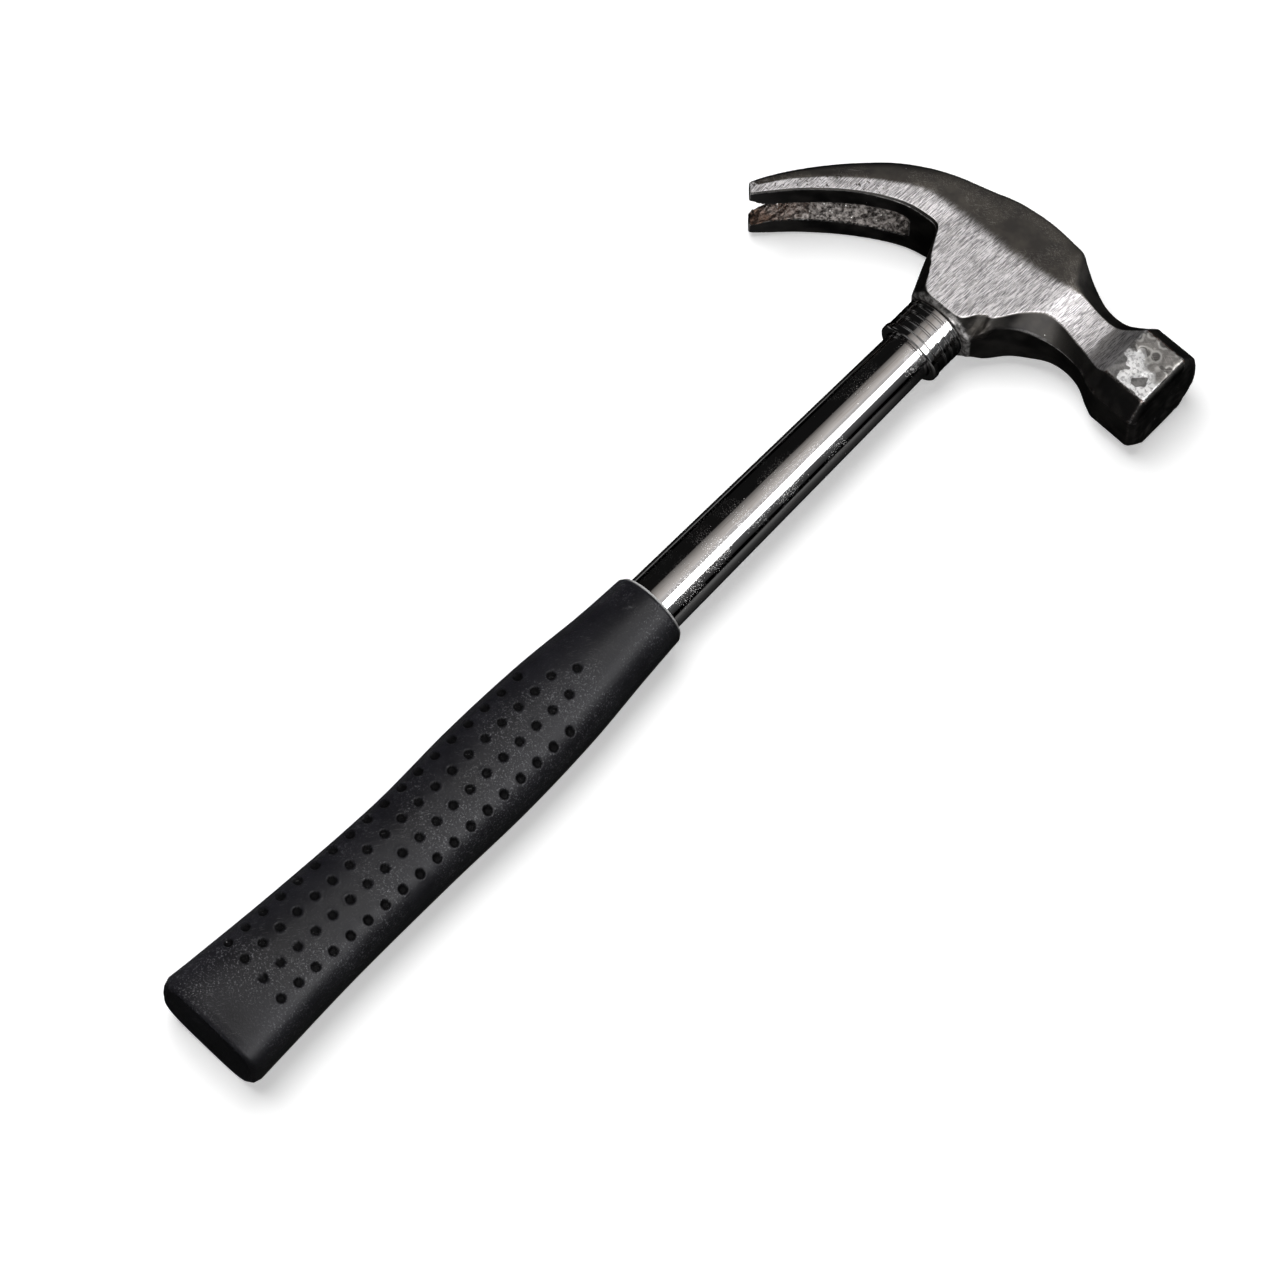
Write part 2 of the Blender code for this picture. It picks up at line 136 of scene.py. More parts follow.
# lower point, upper point, half thickness, lower bevel (height, half thickness at its
# foot), upper roll-off (height, half thickness at its top, exponent)
HEAD_STATIONS = (
    ((-60.9, 273.3), (-63.7, 276.2), 12.3, (0.5, 11.8), (0.9, 11.6, 2.0)),
    ((-57.1, 277.3), (-61.2, 280.7), 12.9, (0.6, 12.3), (1.5, 12.1, 2.0)),
    ((-51.8, 282.9), (-56.8, 287.2), 13.5, (0.6, 12.9), (2.5, 12.4, 2.0)),
    ((-46.2, 287.9), (-51.5, 294.1), 13.9, (0.6, 13.3), (3.8, 12.4, 2.0)),
    ((-40.2, 292.6), (-45.6, 300.8), 14.1, (0.6, 13.5), (5.2, 12.1, 2.0)),
    ((-33.6, 296.7), (-38.5, 308.0), 14.0, (0.7, 13.3), (7.0, 11.4, 2.0)),
    ((-27.2, 299.7), (-30.7, 313.8), 13.6, (0.8, 12.8), (9.5, 10.4, 2.0)),
    ((-21.5, 301.0), (-23.3, 317.7), 12.9, (0.9, 12.0), (12.0, 9.4, 2.0)),
    ((-16.8, 300.9), (-16.2, 320.3), CHEEK_Z, (1.0, 11.3), (14.0, 8.6, 2.0)),
    ((-14.3, 296.2), (-12.6, 321.6), CHEEK_Z, (1.5, 10.6), (16.0, 8.2, 2.0)),
    ((-12.0, 290.0), (-10.2, 322.6), CHEEK_Z, (3.4, 9.0), (17.0, 8.0, 2.0)),
    ((-9.9, SOCKET_Y), (-7.6, 323.4), CHEEK_Z, (6.5, 4.6), (17.5, 8.0, 2.0)),
    ((-6.4, SOCKET_Y), (-4.6, 324.1), CHEEK_Z, (1.6, 9.0), (18.0, 8.0, 2.0)),
    ((0.0, SOCKET_Y), (0.4, 324.8), CHEEK_Z, (1.0, 10.6), (18.0, 8.0, 2.0)),
    ((6.6, SOCKET_Y), (5.4, 325.1), CHEEK_Z, (1.6, 9.4), (18.0, 8.0, 2.0)),
    ((10.6, SOCKET_Y), (9.4, 325.0), CHEEK_Z, (6.0, 5.4), (17.5, 8.0, 2.0)),
    ((13.6, 288.1), (13.0, 324.7), CHEEK_Z, (3.4, 9.0), (16.5, 8.0, 2.0)),
    ((18.0, 293.0), (17.2, 324.1), CHEEK_Z, (4.6, 8.6), (14.5, 8.2, 2.0)),
    ((23.1, 296.1), (20.5, 322.1), 11.9, (6.0, 7.6), (10.0, 7.8, 1.6)),
    ((28.5, 298.2), (25.5, 319.6), 10.3, (5.0, 5.8), (6.4, 5.8, 1.2)),
    ((34.1, 298.7), (32.2, 317.1), 9.1, (3.6, 5.0), (4.4, 4.8, 1.0)),
    ((39.4, 297.8), (38.8, 316.8), 9.3, (3.4, 5.4), (4.2, 5.2, 1.0)),
    ((43.6, 295.7), (43.4, 319.1), 11.4, (4.0, 6.4), (4.6, 5.6, 1.0)),
    ((46.8, 294.4), (46.8, 321.6), POLL_Z, (5.0, 7.4), (5.4, 6.2, 1.0)),
    ((59.9, 294.2), (59.9, 321.6), POLL_Z, (5.0, 7.4), (5.4, 6.2, 1.0)),
    ((FACE_X, 295.5), (FACE_X, 320.3), 12.8, (4.6, 6.9), (5.0, 5.8, 1.0)),
)
LOWER_CORNERS = (11, 15, 23, 24)
UPPER_CORNERS = (23, 24)
SHAPE_CORNERS = (23, 24)
CROWN_BULGE = 0.7
CROWN_BULGE_SHARE = 0.05
HEAD_STEP = 0.5
# Where the ground steel of the side gives way to dark scale, and where painted shade darkens the side as it
# rolls off from the light: x, y, half the fade's width.
SHEEN_LINE = np.array([
    (-61.0, 276.9, 0.6), (-56.0, 283.5, 0.8), (-48.3, 291.3, 1.0), (-38.5, 299.3, 1.2),
    (-30.4, 304.8, 1.8), (-25.0, 307.4, 2.6), (-14.8, 308.7, 3.6), (-5.8, 308.8, 4.0),
    (3.3, 308.9, 4.0), (13.4, 310.0, 3.4), (19.6, 311.2, 2.4), (25.0, 312.8, 1.4),
    (28.0, 330.0, 1.4),
])
# how many points a section has over each of its stretches
UNDERSIDE_POINTS = 11
BEVEL_POINTS = 9
CHEEK_POINTS = 40
ROLL_OFF_POINTS = 36
CROWN_POINTS = 16
WALL_POINTS = 26
MIDDLE_POINTS = 6
CAP_RINGS = 14
ROUND_TIP_X = -59.5     # the claw tips beyond this are rounded
ROUND_TIP_PASSES = 10
SLOT_REACH = 6.25
# station, half width on the underside, half width on the crown side
SLOT_SECTIONS = np.array([
    (0.0, 7.4, 7.2), (0.5, 6.2, 5.8), (1.1, 4.9, 4.2), (2.0, 4.9, 3.5),
    (4.0, 5.9, 2.7), (5.6, 6.3, 1.9), (6.1, 5.6, 1.3),
    (SLOT_REACH, 4.2, 0.6),
])
EYE_CLEARANCE = 1.0
EYE_FLARE_Y = 324.1     # where the chamfer round the eye's mouth starts
EYE_REACH = 8.6         # the eye's walls lie within this of the axis
CUT_OVERSHOOT = 6.0
SHARP_ANGLE = math.radians(55)
# The x over which each stretch of the head sets in, and the y of the poll's upper half.
POLL_RANGE = (45.0, 47.5)
SHOULDER_RANGE = (36.5, 40.5)
CLAW_RANGE = (-22.0, -40.0)
TIP_RANGE = (-48.0, -60.0)
TIP_END_RANGE = (-58.5, -61.0)
POLL_TOP_RANGE = (303.0, 312.0)
# Wear of the head, as heights and depths.
UNEVENNESS = 0.03
CHIP_DEPTH = 0.20
POLL_DENT_DEPTH = 0.10
TORN_HEIGHT = 0.55
GOUGE_DEPTH = 0.35
RESIDUE_SPOT = (12.4, 286.6, 8.2)
BRUSHING_SIZE = 100.0   # how much of the side one unit of the brushing's UV covers

# Camera: direction and distance from the point it looks at.
CAMERA_AZIMUTH = math.radians(43.69)
CAMERA_ELEVATION = math.radians(67.33)
CAMERA_ROLL = math.radians(-0.68)
CAMERA_DISTANCE = 1774.6
CAMERA_TARGET = (4.24, 159.65, 0.0)
CAMERA_LENS = 185.6
CAMERA_SENSOR = 36.0
CAMERA_REACH = 50.0     # metres


# ---- mesh helpers

def place(points):
    """Drawn millimetres as frame metres."""
    return np.asarray(points) * MM + ORIGIN


def relax(work, points, passes):
    """Even out some points of a bmesh."""
    for _ in range(passes):
        bmesh.ops.smooth_vert(
            work, verts=points, factor=0.5, use_axis_x=True, use_axis_y=True, use_axis_z=True,
        )


def new_object(name, data):
    """Object in the scene for some mesh, lamp or camera data."""
    obj = bpy.data.objects.new(name, data)
    bpy.context.scene.collection.objects.link(obj)
    return obj


class Skin:
    """Grids of points that are joined into one closed mesh."""

    def __init__(self, *masks):
        self.points = []
        self.faces = []
        self.masks = {name: [] for name in masks}
        self.count = 0

    def add(self, grid, wrap_rows=False, wrap_columns=False, **masks):
        """Add a grid of points of shape (rows, columns, 3) and the quads between them."""
        rows, columns = grid.shape[:2]
        index = np.arange(rows * columns).reshape(rows, columns) + self.count
        if wrap_rows:
            index = np.vstack([index, index[:1]])
        if wrap_columns:
            index = np.hstack([index, index[:, :1]])
        quads = np.stack([index[:-1, :-1], index[:-1, 1:], index[1:, 1:], index[1:, :-1]], -1)
        self.points.append(grid.reshape(-1, 3))
        self.faces.append(quads.reshape(-1, 4))
        for name, values in self.masks.items():
            values.append(np.broadcast_to(masks.get(name, 0.0), (rows, columns)).ravel())
        self.count += rows * columns

    def add_mirror(self):
        """Add a copy of everything so far, mirrored in the plane z = 0."""
        points = np.vstack(self.points) * (1, 1, -1)
        self.points.append(points)
        self.faces.append(np.vstack(self.faces)[:, ::-1] + self.count)
        for values in self.masks.values():
            values.append(np.concatenate(values))
        self.count *= 2

    def finish(self, name, merge=0.01, smooth=0):
        """Mesh object, with its seams merged and its edges eased by some smoothing."""
        mesh = bpy.data.meshes.new(name)
        mesh.from_pydata(place(np.vstack(self.points)).tolist(), [], np.vstack(self.faces).tolist())
        for mask, values in self.masks.items():
            write_attribute(mesh, mask, np.concatenate(values))
        work = bmesh.new()
        work.from_mesh(mesh)
        bmesh.ops.remove_doubles(work, verts=work.verts, dist=merge * MM)
        bmesh.ops.recalc_face_normals(work, faces=work.faces)
        relax(work, work.verts, smooth)
        work.to_mesh(mesh)
        work.free()
        mesh.shade_smooth()
        return new_object(name, mesh)


def read_all(items, name, width=1, kind=np.float32):
    """One property of every item, as an array."""
    values = np.empty(len(items) * width, kind)
    items.foreach_get(name, values)
    return values.reshape(-1, width) if width > 1 else values


def vertex_points(mesh):
    """The mesh's points in drawn millimetres."""
    return (read_all(mesh.vertices, "co", 3) - ORIGIN) / MM


def move_points(mesh, points):
    """Give the mesh new points, in drawn millimetres."""
    mesh.vertices.foreach_set("co", place(points).ravel())
    mesh.update()


def read_attribute(mesh, name):
    """Values of a point attribute."""
    return read_all(mesh.attributes[name].data, "value").astype(float)


def write_attribute(mesh, name, values):
    """Store values as a point attribute that materials can read."""
    attribute = mesh.attributes.get(name) or mesh.attributes.new(name, "FLOAT", "POINT")
    attribute.data.foreach_set("value", np.clip(values, 0, 1).astype(np.float32))


def convexity(mesh, points, normals):
    """How sharply the surface turns outwards at each point, in 1/mm."""
    a, b = read_all(mesh.edges, "vertices", 2, np.int64).T
    step = points[b] - points[a]
    square = np.maximum((step**2).sum(1), 1e-6)
    total = np.zeros(len(points))
    count = np.zeros(len(points))
    for start, way in ((a, step), (b, -step)):
        bend = -2 * (normals[start] * way).sum(1) / square
        np.add.at(total, start, bend)
        np.add.at(count, start, 1)
    return total / np.maximum(count, 1)


def ease(low, high, values):
    """Smooth step from 0 at low to 1 at high."""
    t = np.clip((values - low) / (high - low), 0, 1)
    return t * t * (3 - 2 * t)


def ripple(points, size, seed, depth=2):
    """Smooth noise of about -1 to 1 with lumps of the given size."""
    shift = Vector((seed * 17.3, seed * 5.1, seed * 9.7))
    return np.array([
        noise.fractal(Vector(point) / size + shift, 1.0, 2.0, depth) for point in points
    ])


def smooth_values(values, positions, corners=()):
    """Values at fractional stations of a cubic curve with a kink at each corner station."""
    values = np.asarray(values, float).reshape(len(values), -1)
    last = len(values) - 1
    chord = np.diff(values, axis=0)
    slope_in = chord.copy()
    slope_out = chord.copy()
    for i in range(last):
        if i > 0 and i not in corners:
            slope_in[i] = (values[i + 1] - values[i - 1]) / 2
        if i + 1 < last and i + 1 not in corners:
            slope_out[i] = (values[i + 2] - values[i]) / 2
    index = np.minimum(positions.astype(int), last - 1)
    t = (positions - index)[:, None]
    return (
        values[index] * (2 * t**3 - 3 * t**2 + 1)
        + slope_in[index] * (t**3 - 2 * t**2 + t)
        + values[index + 1] * (3 * t**2 - 2 * t**3)
        + slope_out[index] * (t**3 - t**2)
    )


def even_stations(lengths, step, fewest):
    """Fractional stations at even, close steps along stretches of these lengths."""
    spans = [
        np.linspace(i, i + 1, max(fewest, math.ceil(length / step)), endpoint=False)
        for i, length in enumerate(lengths)
    ]
    return np.append(np.concatenate(spans), len(lengths))


def rounded(profile, radius, steps=4):
    """Closed (radius, y) profile with each of its corners eased by a short curve."""
    corners = np.array(profile, float)
    result = []
    for before, corner, after in zip(np.roll(corners, 1, 0), corners, np.roll(corners, -1, 0)):
        ends = []
        for other in (before, after):
            length = np.linalg.norm(other - corner)
            ends.append(corner + (other - corner) * min(radius / length, 0.45))
        for t in np.linspace(0, 1, steps):
            result.append(ends[0] * (1 - t)**2 + corner * 2 * t * (1 - t) + ends[1] * t**2)
    return np.array(result)


def turned(name, profile, closed=True):
    """Mesh object turned about the handle's axis from a (radius, y) profile."""
    angles = np.linspace(0, 2 * np.pi, TURN_STEPS, endpoint=False)
    radius, height = np.split(np.array(profile), 2, 1)
    grid = np.stack([radius * np.sin(angles), height + 0 * angles, radius * np.cos(angles)], -1)
    skin = Skin()
    skin.add(grid, wrap_rows=closed, wrap_columns=True)
    return skin.finish(name)


def add_piece(obj, node, material):
    """Let a piece stand for a CAD node, riding on the hammer's one body."""
    obj.data.materials.clear()
    obj.data.materials.append(material)
    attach(obj, "root")
    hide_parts(node)
    return obj


# ---- head

def head_positions():
    """Fractional stations along the head, one of them at the slot's end."""
    middles = np.array([np.add(s[0], s[1]) / 2 for s in HEAD_STATIONS])
    lengths = np.linalg.norm(np.diff(middles, axis=0), axis=1)
    return np.union1d(even_stations(lengths, HEAD_STEP, 2), [SLOT_REACH])


def head_sections(positions):
    """Lower points, unit directions up the sections, heights and sizes at the stations."""
    lower = smooth_values([s[0] for s in HEAD_STATIONS], positions, LOWER_CORNERS)
    upper = smooth_values([s[1] for s in HEAD_STATIONS], positions, UPPER_CORNERS)
    sizes = [(s[2], *s[3], *s[4]) for s in HEAD_STATIONS]
    shape = smooth_values(sizes, positions, SHAPE_CORNERS)
    height = np.linalg.norm(upper - lower, axis=1, keepdims=True)
    return lower, (upper - lower) / height, height, shape


def head_skin(positions, inner_low, inner_top):
    """Grid of the head's surface from the underside's inner edge over to the crown's.

    The second result marks its side: 1 on the flat and over a curved roll-off.
    """
    lower, up, height, shape = head_sections(positions)
    half, low_height, low_half, top_height, top_half, exponent = np.split(shape, 6, 1)
    bulge = np.minimum(CROWN_BULGE, CROWN_BULGE_SHARE * height)

    def shares(count):
        return np.linspace(0, 1, count, endpoint=False)[None]

    none = 0 * height
    t = shares(UNDERSIDE_POINTS)
    stretches = [(none, inner_low + (low_half - inner_low) * t, none)]
    t = shares(BEVEL_POINTS)
    stretches.append((low_height * t, low_half + (half - low_half) * t, none))
    t = shares(CHEEK_POINTS)
    stretches.append((low_height + (height - top_height - low_height) * t, half, none + 1))
    t = shares(ROLL_OFF_POINTS)
    curved = ease(1.05, 1.5, exponent)
    stretches.append((height - top_height * (1 - t), half - (half - top_half) * t**exponent, curved))
    t = np.linspace(0, 1, CROWN_POINTS)[None]
    z = top_half + (inner_top - top_half) * t
    stretches.append((height + bulge * (1 - (z / top_half)**2), z, none))
    stretches = [np.broadcast_arrays(*stretch) for stretch in stretches]
    v, z, side = (np.hstack(values) for values in zip(*stretches))
    flat = lower[:, None] + up[:, None] * v[..., None]
    return np.concatenate([flat, z[..., None]], 2), side


def filled(edge, share):
    """Points from the head's mid-plane (share 0) out to an edge (share 1)."""
    return edge * (1, 1, 0) * (1 - share) + edge * share


def cap(ring, flat_z=True):
    """Grid from a ring of points in to its middle."""
    middle = (ring.min(0) + ring.max(0)) / 2
    if flat_z:
        middle[2] = 0
    scale = np.linspace(1, 0, CAP_RINGS)[:, None, None]
    return middle + (ring[None] - middle) * scale


def head_mesh():
    """The head's closed surface, made as one half and its mirror image."""
    positions = head_positions()
    claw = positions[positions <= SLOT_REACH]
    body = positions[positions >= SLOT_REACH]
    inner_low = np.interp(claw, SLOT_SECTIONS[:, 0], SLOT_SECTIONS[:, 1])[:, None]
    inner_top = np.interp(claw, SLOT_SECTIONS[:, 0], SLOT_SECTIONS[:, 2])[:, None]
    outside, side = head_skin(claw, inner_low, inner_top)
    share = np.linspace(0, 1, WALL_POINTS)[None, :, None]
    wall = outside[:, -1:] * (1 - share) + outside[:, :1] * share
    skin = Skin("wall", "wall_low", "side")
    skin.add(outside, side=side)
    skin.add(wall, wall=1.0, wall_low=share[..., 0])
    tip = np.concatenate([outside[0], wall[0, 1:-1]])
    skin.add(cap(tip, flat_z=False), wrap_columns=True)

    full = 0 * body[:, None]
    rest, side = head_skin(body, inner_low[-1] + full, inner_top[-1] + full)
    skin.add(rest, side=side)
    share = np.linspace(0, 1, MIDDLE_POINTS + 1)[:, None]
    for edge in (rest[:, :1], rest[:, -1:]):
        skin.add(filled(edge, share))
    skin.add(filled(wall[-1][:, None], share), wall=1.0)
    rim_low = filled(rest[-1, :1], share)
    rim_top = filled(rest[-1, -1:], share[::-1])
    skin.add(cap(np.concatenate([rim_low[:-1], rest[-1], rim_top[1:]])))
    skin.add_mirror()
    head = skin.finish("hammer_head", smooth=2)
    work = bmesh.new()
    work.from_mesh(head.data)
    tips = [v for v in work.verts if v.co.x < ORIGIN[0] + ROUND_TIP_X * MM]
    relax(work, tips, ROUND_TIP_PASSES)
    work.to_mesh(head.data)
    work.free()
    return head


def cut_eye(head):
    """Open the round eye right through the head."""
    foot = tube_radius(FERRULE_TOP_Y) + EYE_CLEARANCE
    top = tube_radius(TUBE_TOP_Y) + EYE_CLEARANCE
    flare_top = EYE_FLARE_Y + CUT_OVERSHOOT
    profile = [
        (0.0, flare_top), (top + CUT_OVERSHOOT, flare_top), (top, EYE_FLARE_Y), (top, TUBE_TOP_Y),
        (foot, FERRULE_TOP_Y), (foot, FERRULE_TOP_Y - CUT_OVERSHOOT),
        (0.0, FERRULE_TOP_Y - CUT_OVERSHOOT),
    ]
    cutter = turned("eye_cutter", profile, closed=False)
    cut = head.modifiers.new("eye", "BOOLEAN")
    cut.operation = "DIFFERENCE"
    cut.solver = "EXACT"
    cut.object = cutter
    graph = bpy.context.evaluated_depsgraph_get()
    finished = bpy.data.meshes.new_from_object(head.evaluated_get(graph))
    head.modifiers.clear()
    head.data = finished
    bpy.data.objects.remove(cutter)
    finished.set_sharp_from_angle(angle=SHARP_ANGLE)


def wear_head(head):
    """Dents, nicks and torn slot walls, and the masks that the head's material reads."""
    mesh = head.data
    points = vertex_points(mesh)
    normals = read_all(mesh.vertex_normals, "vector", 3).astype(float)
    x, y, z = points.T
    wall = np.where(normals[:, 2] * z < 0, read_attribute(mesh, "wall"), 0)
    edge = ease(0.25, 1.1, convexity(mesh, points, normals))
    poll = ease(*POLL_RANGE, x)
    from_axis = np.hypot(x, z)
    inside_eye = (from_axis < EYE_REACH) & (y > SOCKET_Y + 0.4) & (y < EYE_FLARE_Y - 1.1)
    inside_eye &= (normals[:, 0] * x + normals[:, 2] * z) < 0

    chips = ease(0.05, 0.5, ripple(points, 1.1, 3, 3)) * (0.35 + 0.65 * poll)
    torn = ripple(points * (1.0, 1.0, 0.6), 1.9, 4, 4)
    gouges = ease(0.25, 0.4, np.abs(ripple(points, 3.0, 7, 2)))
    residue = ease(4.5, 2.0, np.linalg.norm(points - RESIDUE_SPOT, axis=1))
    push = UNEVENNESS * ripple(points, 9.0, 1)
    push -= CHIP_DEPTH * edge * chips
    push -= POLL_DENT_DEPTH * poll * ease(0.15, 0.6, ripple(points, 2.6, 5, 2))
    push += wall * (TORN_HEIGHT * torn - GOUGE_DEPTH * gouges)
    push += residue * (0.25 + 0.5 * ripple(points, 0.8, 6, 3))
    push[inside_eye] = 0
    points = points + normals * push[:, None]
    move_points(mesh, points)

    upright = np.abs(normals[:, 2])
    shoulder = ease(*SHOULDER_RANGE, x) * (1 - poll)
    claw = ease(*CLAW_RANGE, x)
    tip_end = ease(*TIP_END_RANGE, x)
    line, fade = (np.interp(x, SHEEN_LINE[:, 0], SHEEN_LINE[:, i]) for i in (1, 2))
    # The ground steel fades into scale across the sheen line: partly the real finish, partly painted shade
    # where the side rolls off from the light.
    ground_sheen = read_attribute(mesh, "side") * ease(1.0, -1.0, (y - line) / fade)
    # Painted highlight: a light ring round the eye's foot, where the head meets the ferrule.
    foot_rim_highlight = ease(SOCKET_Y + 1.1, SOCKET_Y + 0.5, y)
    foot_rim_highlight *= ease(9.0, 10.0, from_axis) * ease(15.0, 14.0, from_axis)
    worn = edge * (1 - wall) * (1 - 0.85 * claw + 0.7 * tip_end)
    masks = {
        "ground_sheen": ground_sheen * np.maximum(ease(0.80, 0.93, upright), shoulder),
        # up marks what faces up towards the light: painted light on the scale and on the scratches.
        "up": ease(0.80, 0.95, upright),
        # edge: worn edges, partly real wear and partly painted highlight along the creases, with the
        # painted highlight ring at the eye's foot.
        "edge": np.maximum(worn, 0.75 * foot_rim_highlight),
        "wall": wall,
        "poll": poll,
        "poll_top": ease(*POLL_TOP_RANGE, y) * poll,
        "shoulder": shoulder,
        "claw": claw,
        "tip": ease(*TIP_RANGE, x),
        "residue": residue,
    }
    for name, values in masks.items():
        write_attribute(mesh, name, values)
    brushing = mesh.uv_layers.new(name="brushing")
    corners = read_all(mesh.loops, "vertex_index", kind=np.int64)
    flat = points[corners][:, [1, 0]] / BRUSHING_SIZE
    brushing.data.foreach_set("uv", flat.astype(np.float32).ravel())


# ---- tube and ferrule

def tube_radius(y):
    """Outer radius of the handle tube at a height y."""
    heights = (TUBE_FOOT_Y, GRIP_LENGTH, FERRULE_FOOT_Y, FERRULE_TOP_Y, TUBE_TOP_Y)
    radii = (TUBE_GRIP_RADIUS, TUBE_GRIP_RADIUS, TUBE_FERRULE_RADIUS, TUBE_FERRULE_RADIUS, TUBE_TOP_RADIUS)
    return np.interp(y, heights, radii)


def make_tube(material):
    """Chromed handle tube, open at both ends."""
    heights = [TUBE_TOP_Y, FERRULE_TOP_Y, FERRULE_FOOT_Y]
    heights += list(np.linspace(FERRULE_FOOT_Y, GRIP_LENGTH, TUBE_RINGS)[1:]) + [TUBE_FOOT_Y]
    outer = [(tube_radius(y), y) for y in heights]
    inner = [(tube_radius(y) - TUBE_WALL, y) for y in reversed(heights)]
    tube = turned("chrome_tube", rounded(outer + inner, TUBE_EASING))
    add_piece(tube, "shaft_tube", material)


def make_ferrule(material):
    """Collar with three turned grooves, and a lip round its foot."""
    bore = TUBE_FERRULE_RADIUS + GAP
    groove_floor = FERRULE_RADIUS - GROOVE_DEPTH
    lip_top = FERRULE_FOOT_Y + FERRULE_LIP_HEIGHT
    profile = [(FERRULE_RADIUS, FERRULE_TOP_Y)]
    groove = ((FERRULE_RADIUS, 0.5), (groove_floor, 0.25), (groove_floor, -0.25), (FERRULE_RADIUS, -0.5))
    for y in GROOVE_HEIGHTS:
        profile += [(radius, y + share * GROOVE_WIDTH) for radius, share in groove]
    profile += [
        (FERRULE_RADIUS, lip_top + FERRULE_EDGE),
        (FERRULE_LIP_RADIUS, lip_top),
        (FERRULE_LIP_RADIUS, FERRULE_FOOT_Y + FERRULE_EDGE),
        (FERRULE_LIP_RADIUS - FERRULE_EDGE, FERRULE_FOOT_Y),
        (bore, FERRULE_FOOT_Y),
        (bore, FERRULE_TOP_Y),
    ]
    ferrule = turned("chrome_ferrule", rounded(profile, FERRULE_EASING))
    add_piece(ferrule, "ferrule", material)


# ---- grip

def squared(wave, squareness):
    """A sine or cosine bent so that an ellipse turns into a rounded rectangle."""
    return np.sign(wave) * np.abs(wave)**(2 / squareness)


def grip_angles():
    """Angles round the grip, closer together on the two broad faces."""
    fine = np.linspace(0, 2 * np.pi, ANGLES_TRIED)
    _, width, thickness, _, squareness = GRIP_SECTIONS[GRIP_WAIST]
    across = width * squared(np.cos(fine), squareness)
    above = thickness * squared(np.sin(fine), squareness)
    length = np.hypot(np.diff(across), np.diff(above))
    face = ease(*DIMPLED_FACE, np.abs(across[1:]))
    density = 1 / (GRIP_COARSE_STEP + (GRIP_FINE_STEP - GRIP_COARSE_STEP) * face)
    total = np.concatenate([[0], np.cumsum(length * density)])
    count = int(total[-1]) // 2 * 2
    return np.interp(np.arange(count) / count * total[-1], total, fine)


def grip_rings(positions, angles):
    """Rings round the grip at fractional sections, and each point's distance across it."""
    y, width, thickness, offset, squareness = np.split(
        smooth_values(GRIP_SECTIONS, positions, GRIP_CORNERS), 5, 1
    )
    across = width * squared(np.cos(angles), squareness)
    above = thickness * squared(np.sin(angles), squareness)
    grid = np.stack([
        offset + across * math.cos(GRIP_TWIST) + above * math.sin(GRIP_TWIST),
        y + 0 * across,
        above * math.cos(GRIP_TWIST) - across * math.sin(GRIP_TWIST),
    ], -1)
    return grid, across


def dimple_centres():
    """Centres of the dimples as (distance across, y)."""
    centres = [DIMPLE_LAST]
    for across, count in DIMPLE_ROWS:
        first = DIMPLE_FIRST_Y + DIMPLE_SKEW * (across - DIMPLE_ROWS[1][0])
        for i in range(count):
            y = first + i * DIMPLE_PITCH
            centres.append((across + DIMPLE_DRIFT * (y - DIMPLE_MIDDLE_Y), y))
    return centres


def dimple_relief(grid, across):
    """How far each point of the grip stands out at the dimples, and where the dimples are."""
    relief = np.zeros(across.shape)
    depth_mask = np.zeros(across.shape)
    y = grid[:, :, 1]
    for centre, centre_y in dimple_centres():
        rows = np.abs(y[:, 0] - centre_y) < 2 * DIMPLE_RADIUS
        radius = np.hypot(across[rows] - centre, y[rows] - centre_y) / DIMPLE_RADIUS
        bowl = ease(1.0, 0.62, radius) * (1 - 0.25 * np.minimum(radius, 1)**2)
        rim = ease(1.45, 1.1, radius) * ease(0.9, 1.08, radius)
        relief[rows] += DIMPLE_RIM * rim - DIMPLE_DEPTH * bowl
        depth_mask[rows] = np.maximum(depth_mask[rows], ease(1.05, 0.85, radius))
    return relief, depth_mask


def make_grip(material):
    """Rubber grip with its dimples, mould line, rounded mouth and bore."""
    angles = grip_angles()
    positions = even_stations(np.diff(GRIP_SECTIONS[:, 0]), GRIP_FINE_STEP, 3)
    grid, across = grip_rings(positions, angles)
    relief, pits = dimple_relief(grid, across)
    outwards = grid - grid.mean(1, keepdims=True)
    outwards /= np.linalg.norm(outwards, axis=2, keepdims=True)
    face = np.array([math.sin(GRIP_TWIST), 0.0, math.cos(GRIP_TWIST)])
    inwards = face * np.sign(np.sin(angles))[:, None]
    tilt = ease(*TILT_RANGE, np.abs(across))[..., None]
    way = inwards * (1 - tilt) + outwards * tilt
    mould_line = MOULD_LINE * ease(0.06, 0.0, np.abs(np.sin(angles)))[None] * (grid[:, :, 1] > MOULD_LINE_Y)
    grid = grid + way * (relief + mould_line)[..., None]

    bore_radius = TUBE_GRIP_RADIUS + GAP
    foot = cap(grid[0], flat_z=False)[::-1]
    circle = np.stack([np.cos(angles), 0 * angles, np.sin(angles)], -1) * bore_radius
    mouth = circle + (0, GRIP_LENGTH - MOUTH_EDGE, 0)
    lip = (grid[-1] + mouth) / 2
    lip[:, 1] = GRIP_LENGTH
    bore = [circle + (0, y, 0) for y in (GRIP_LENGTH - MOUTH_DEPTH, GRIP_LENGTH / 2, GRIP_FLOOR)]
    floor = cap(bore[-1], flat_z=False)
    rings = np.concatenate([foot[:-1], grid, lip[None], mouth[None], np.array(bore), floor[1:]])
    first, end = len(foot) - 1, len(foot) - 1 + len(grid)
    pit = np.zeros(rings.shape[:2])
    pit[first:end] = pits
    # rim: where the mouth's edge gets a painted highlight.
    rim = np.zeros(rings.shape[:2])
    rim[first:end] = ease(*RIM_HIGHLIGHT_RANGE, grid[:, :, 1])
    rim[end:end + 2] = 1
    skin = Skin("pit", "rim")
    skin.add(rings, wrap_columns=True, pit=pit, rim=rim)
    return add_piece(skin.finish("rubber_grip"), "grip", material)


# ---- materials

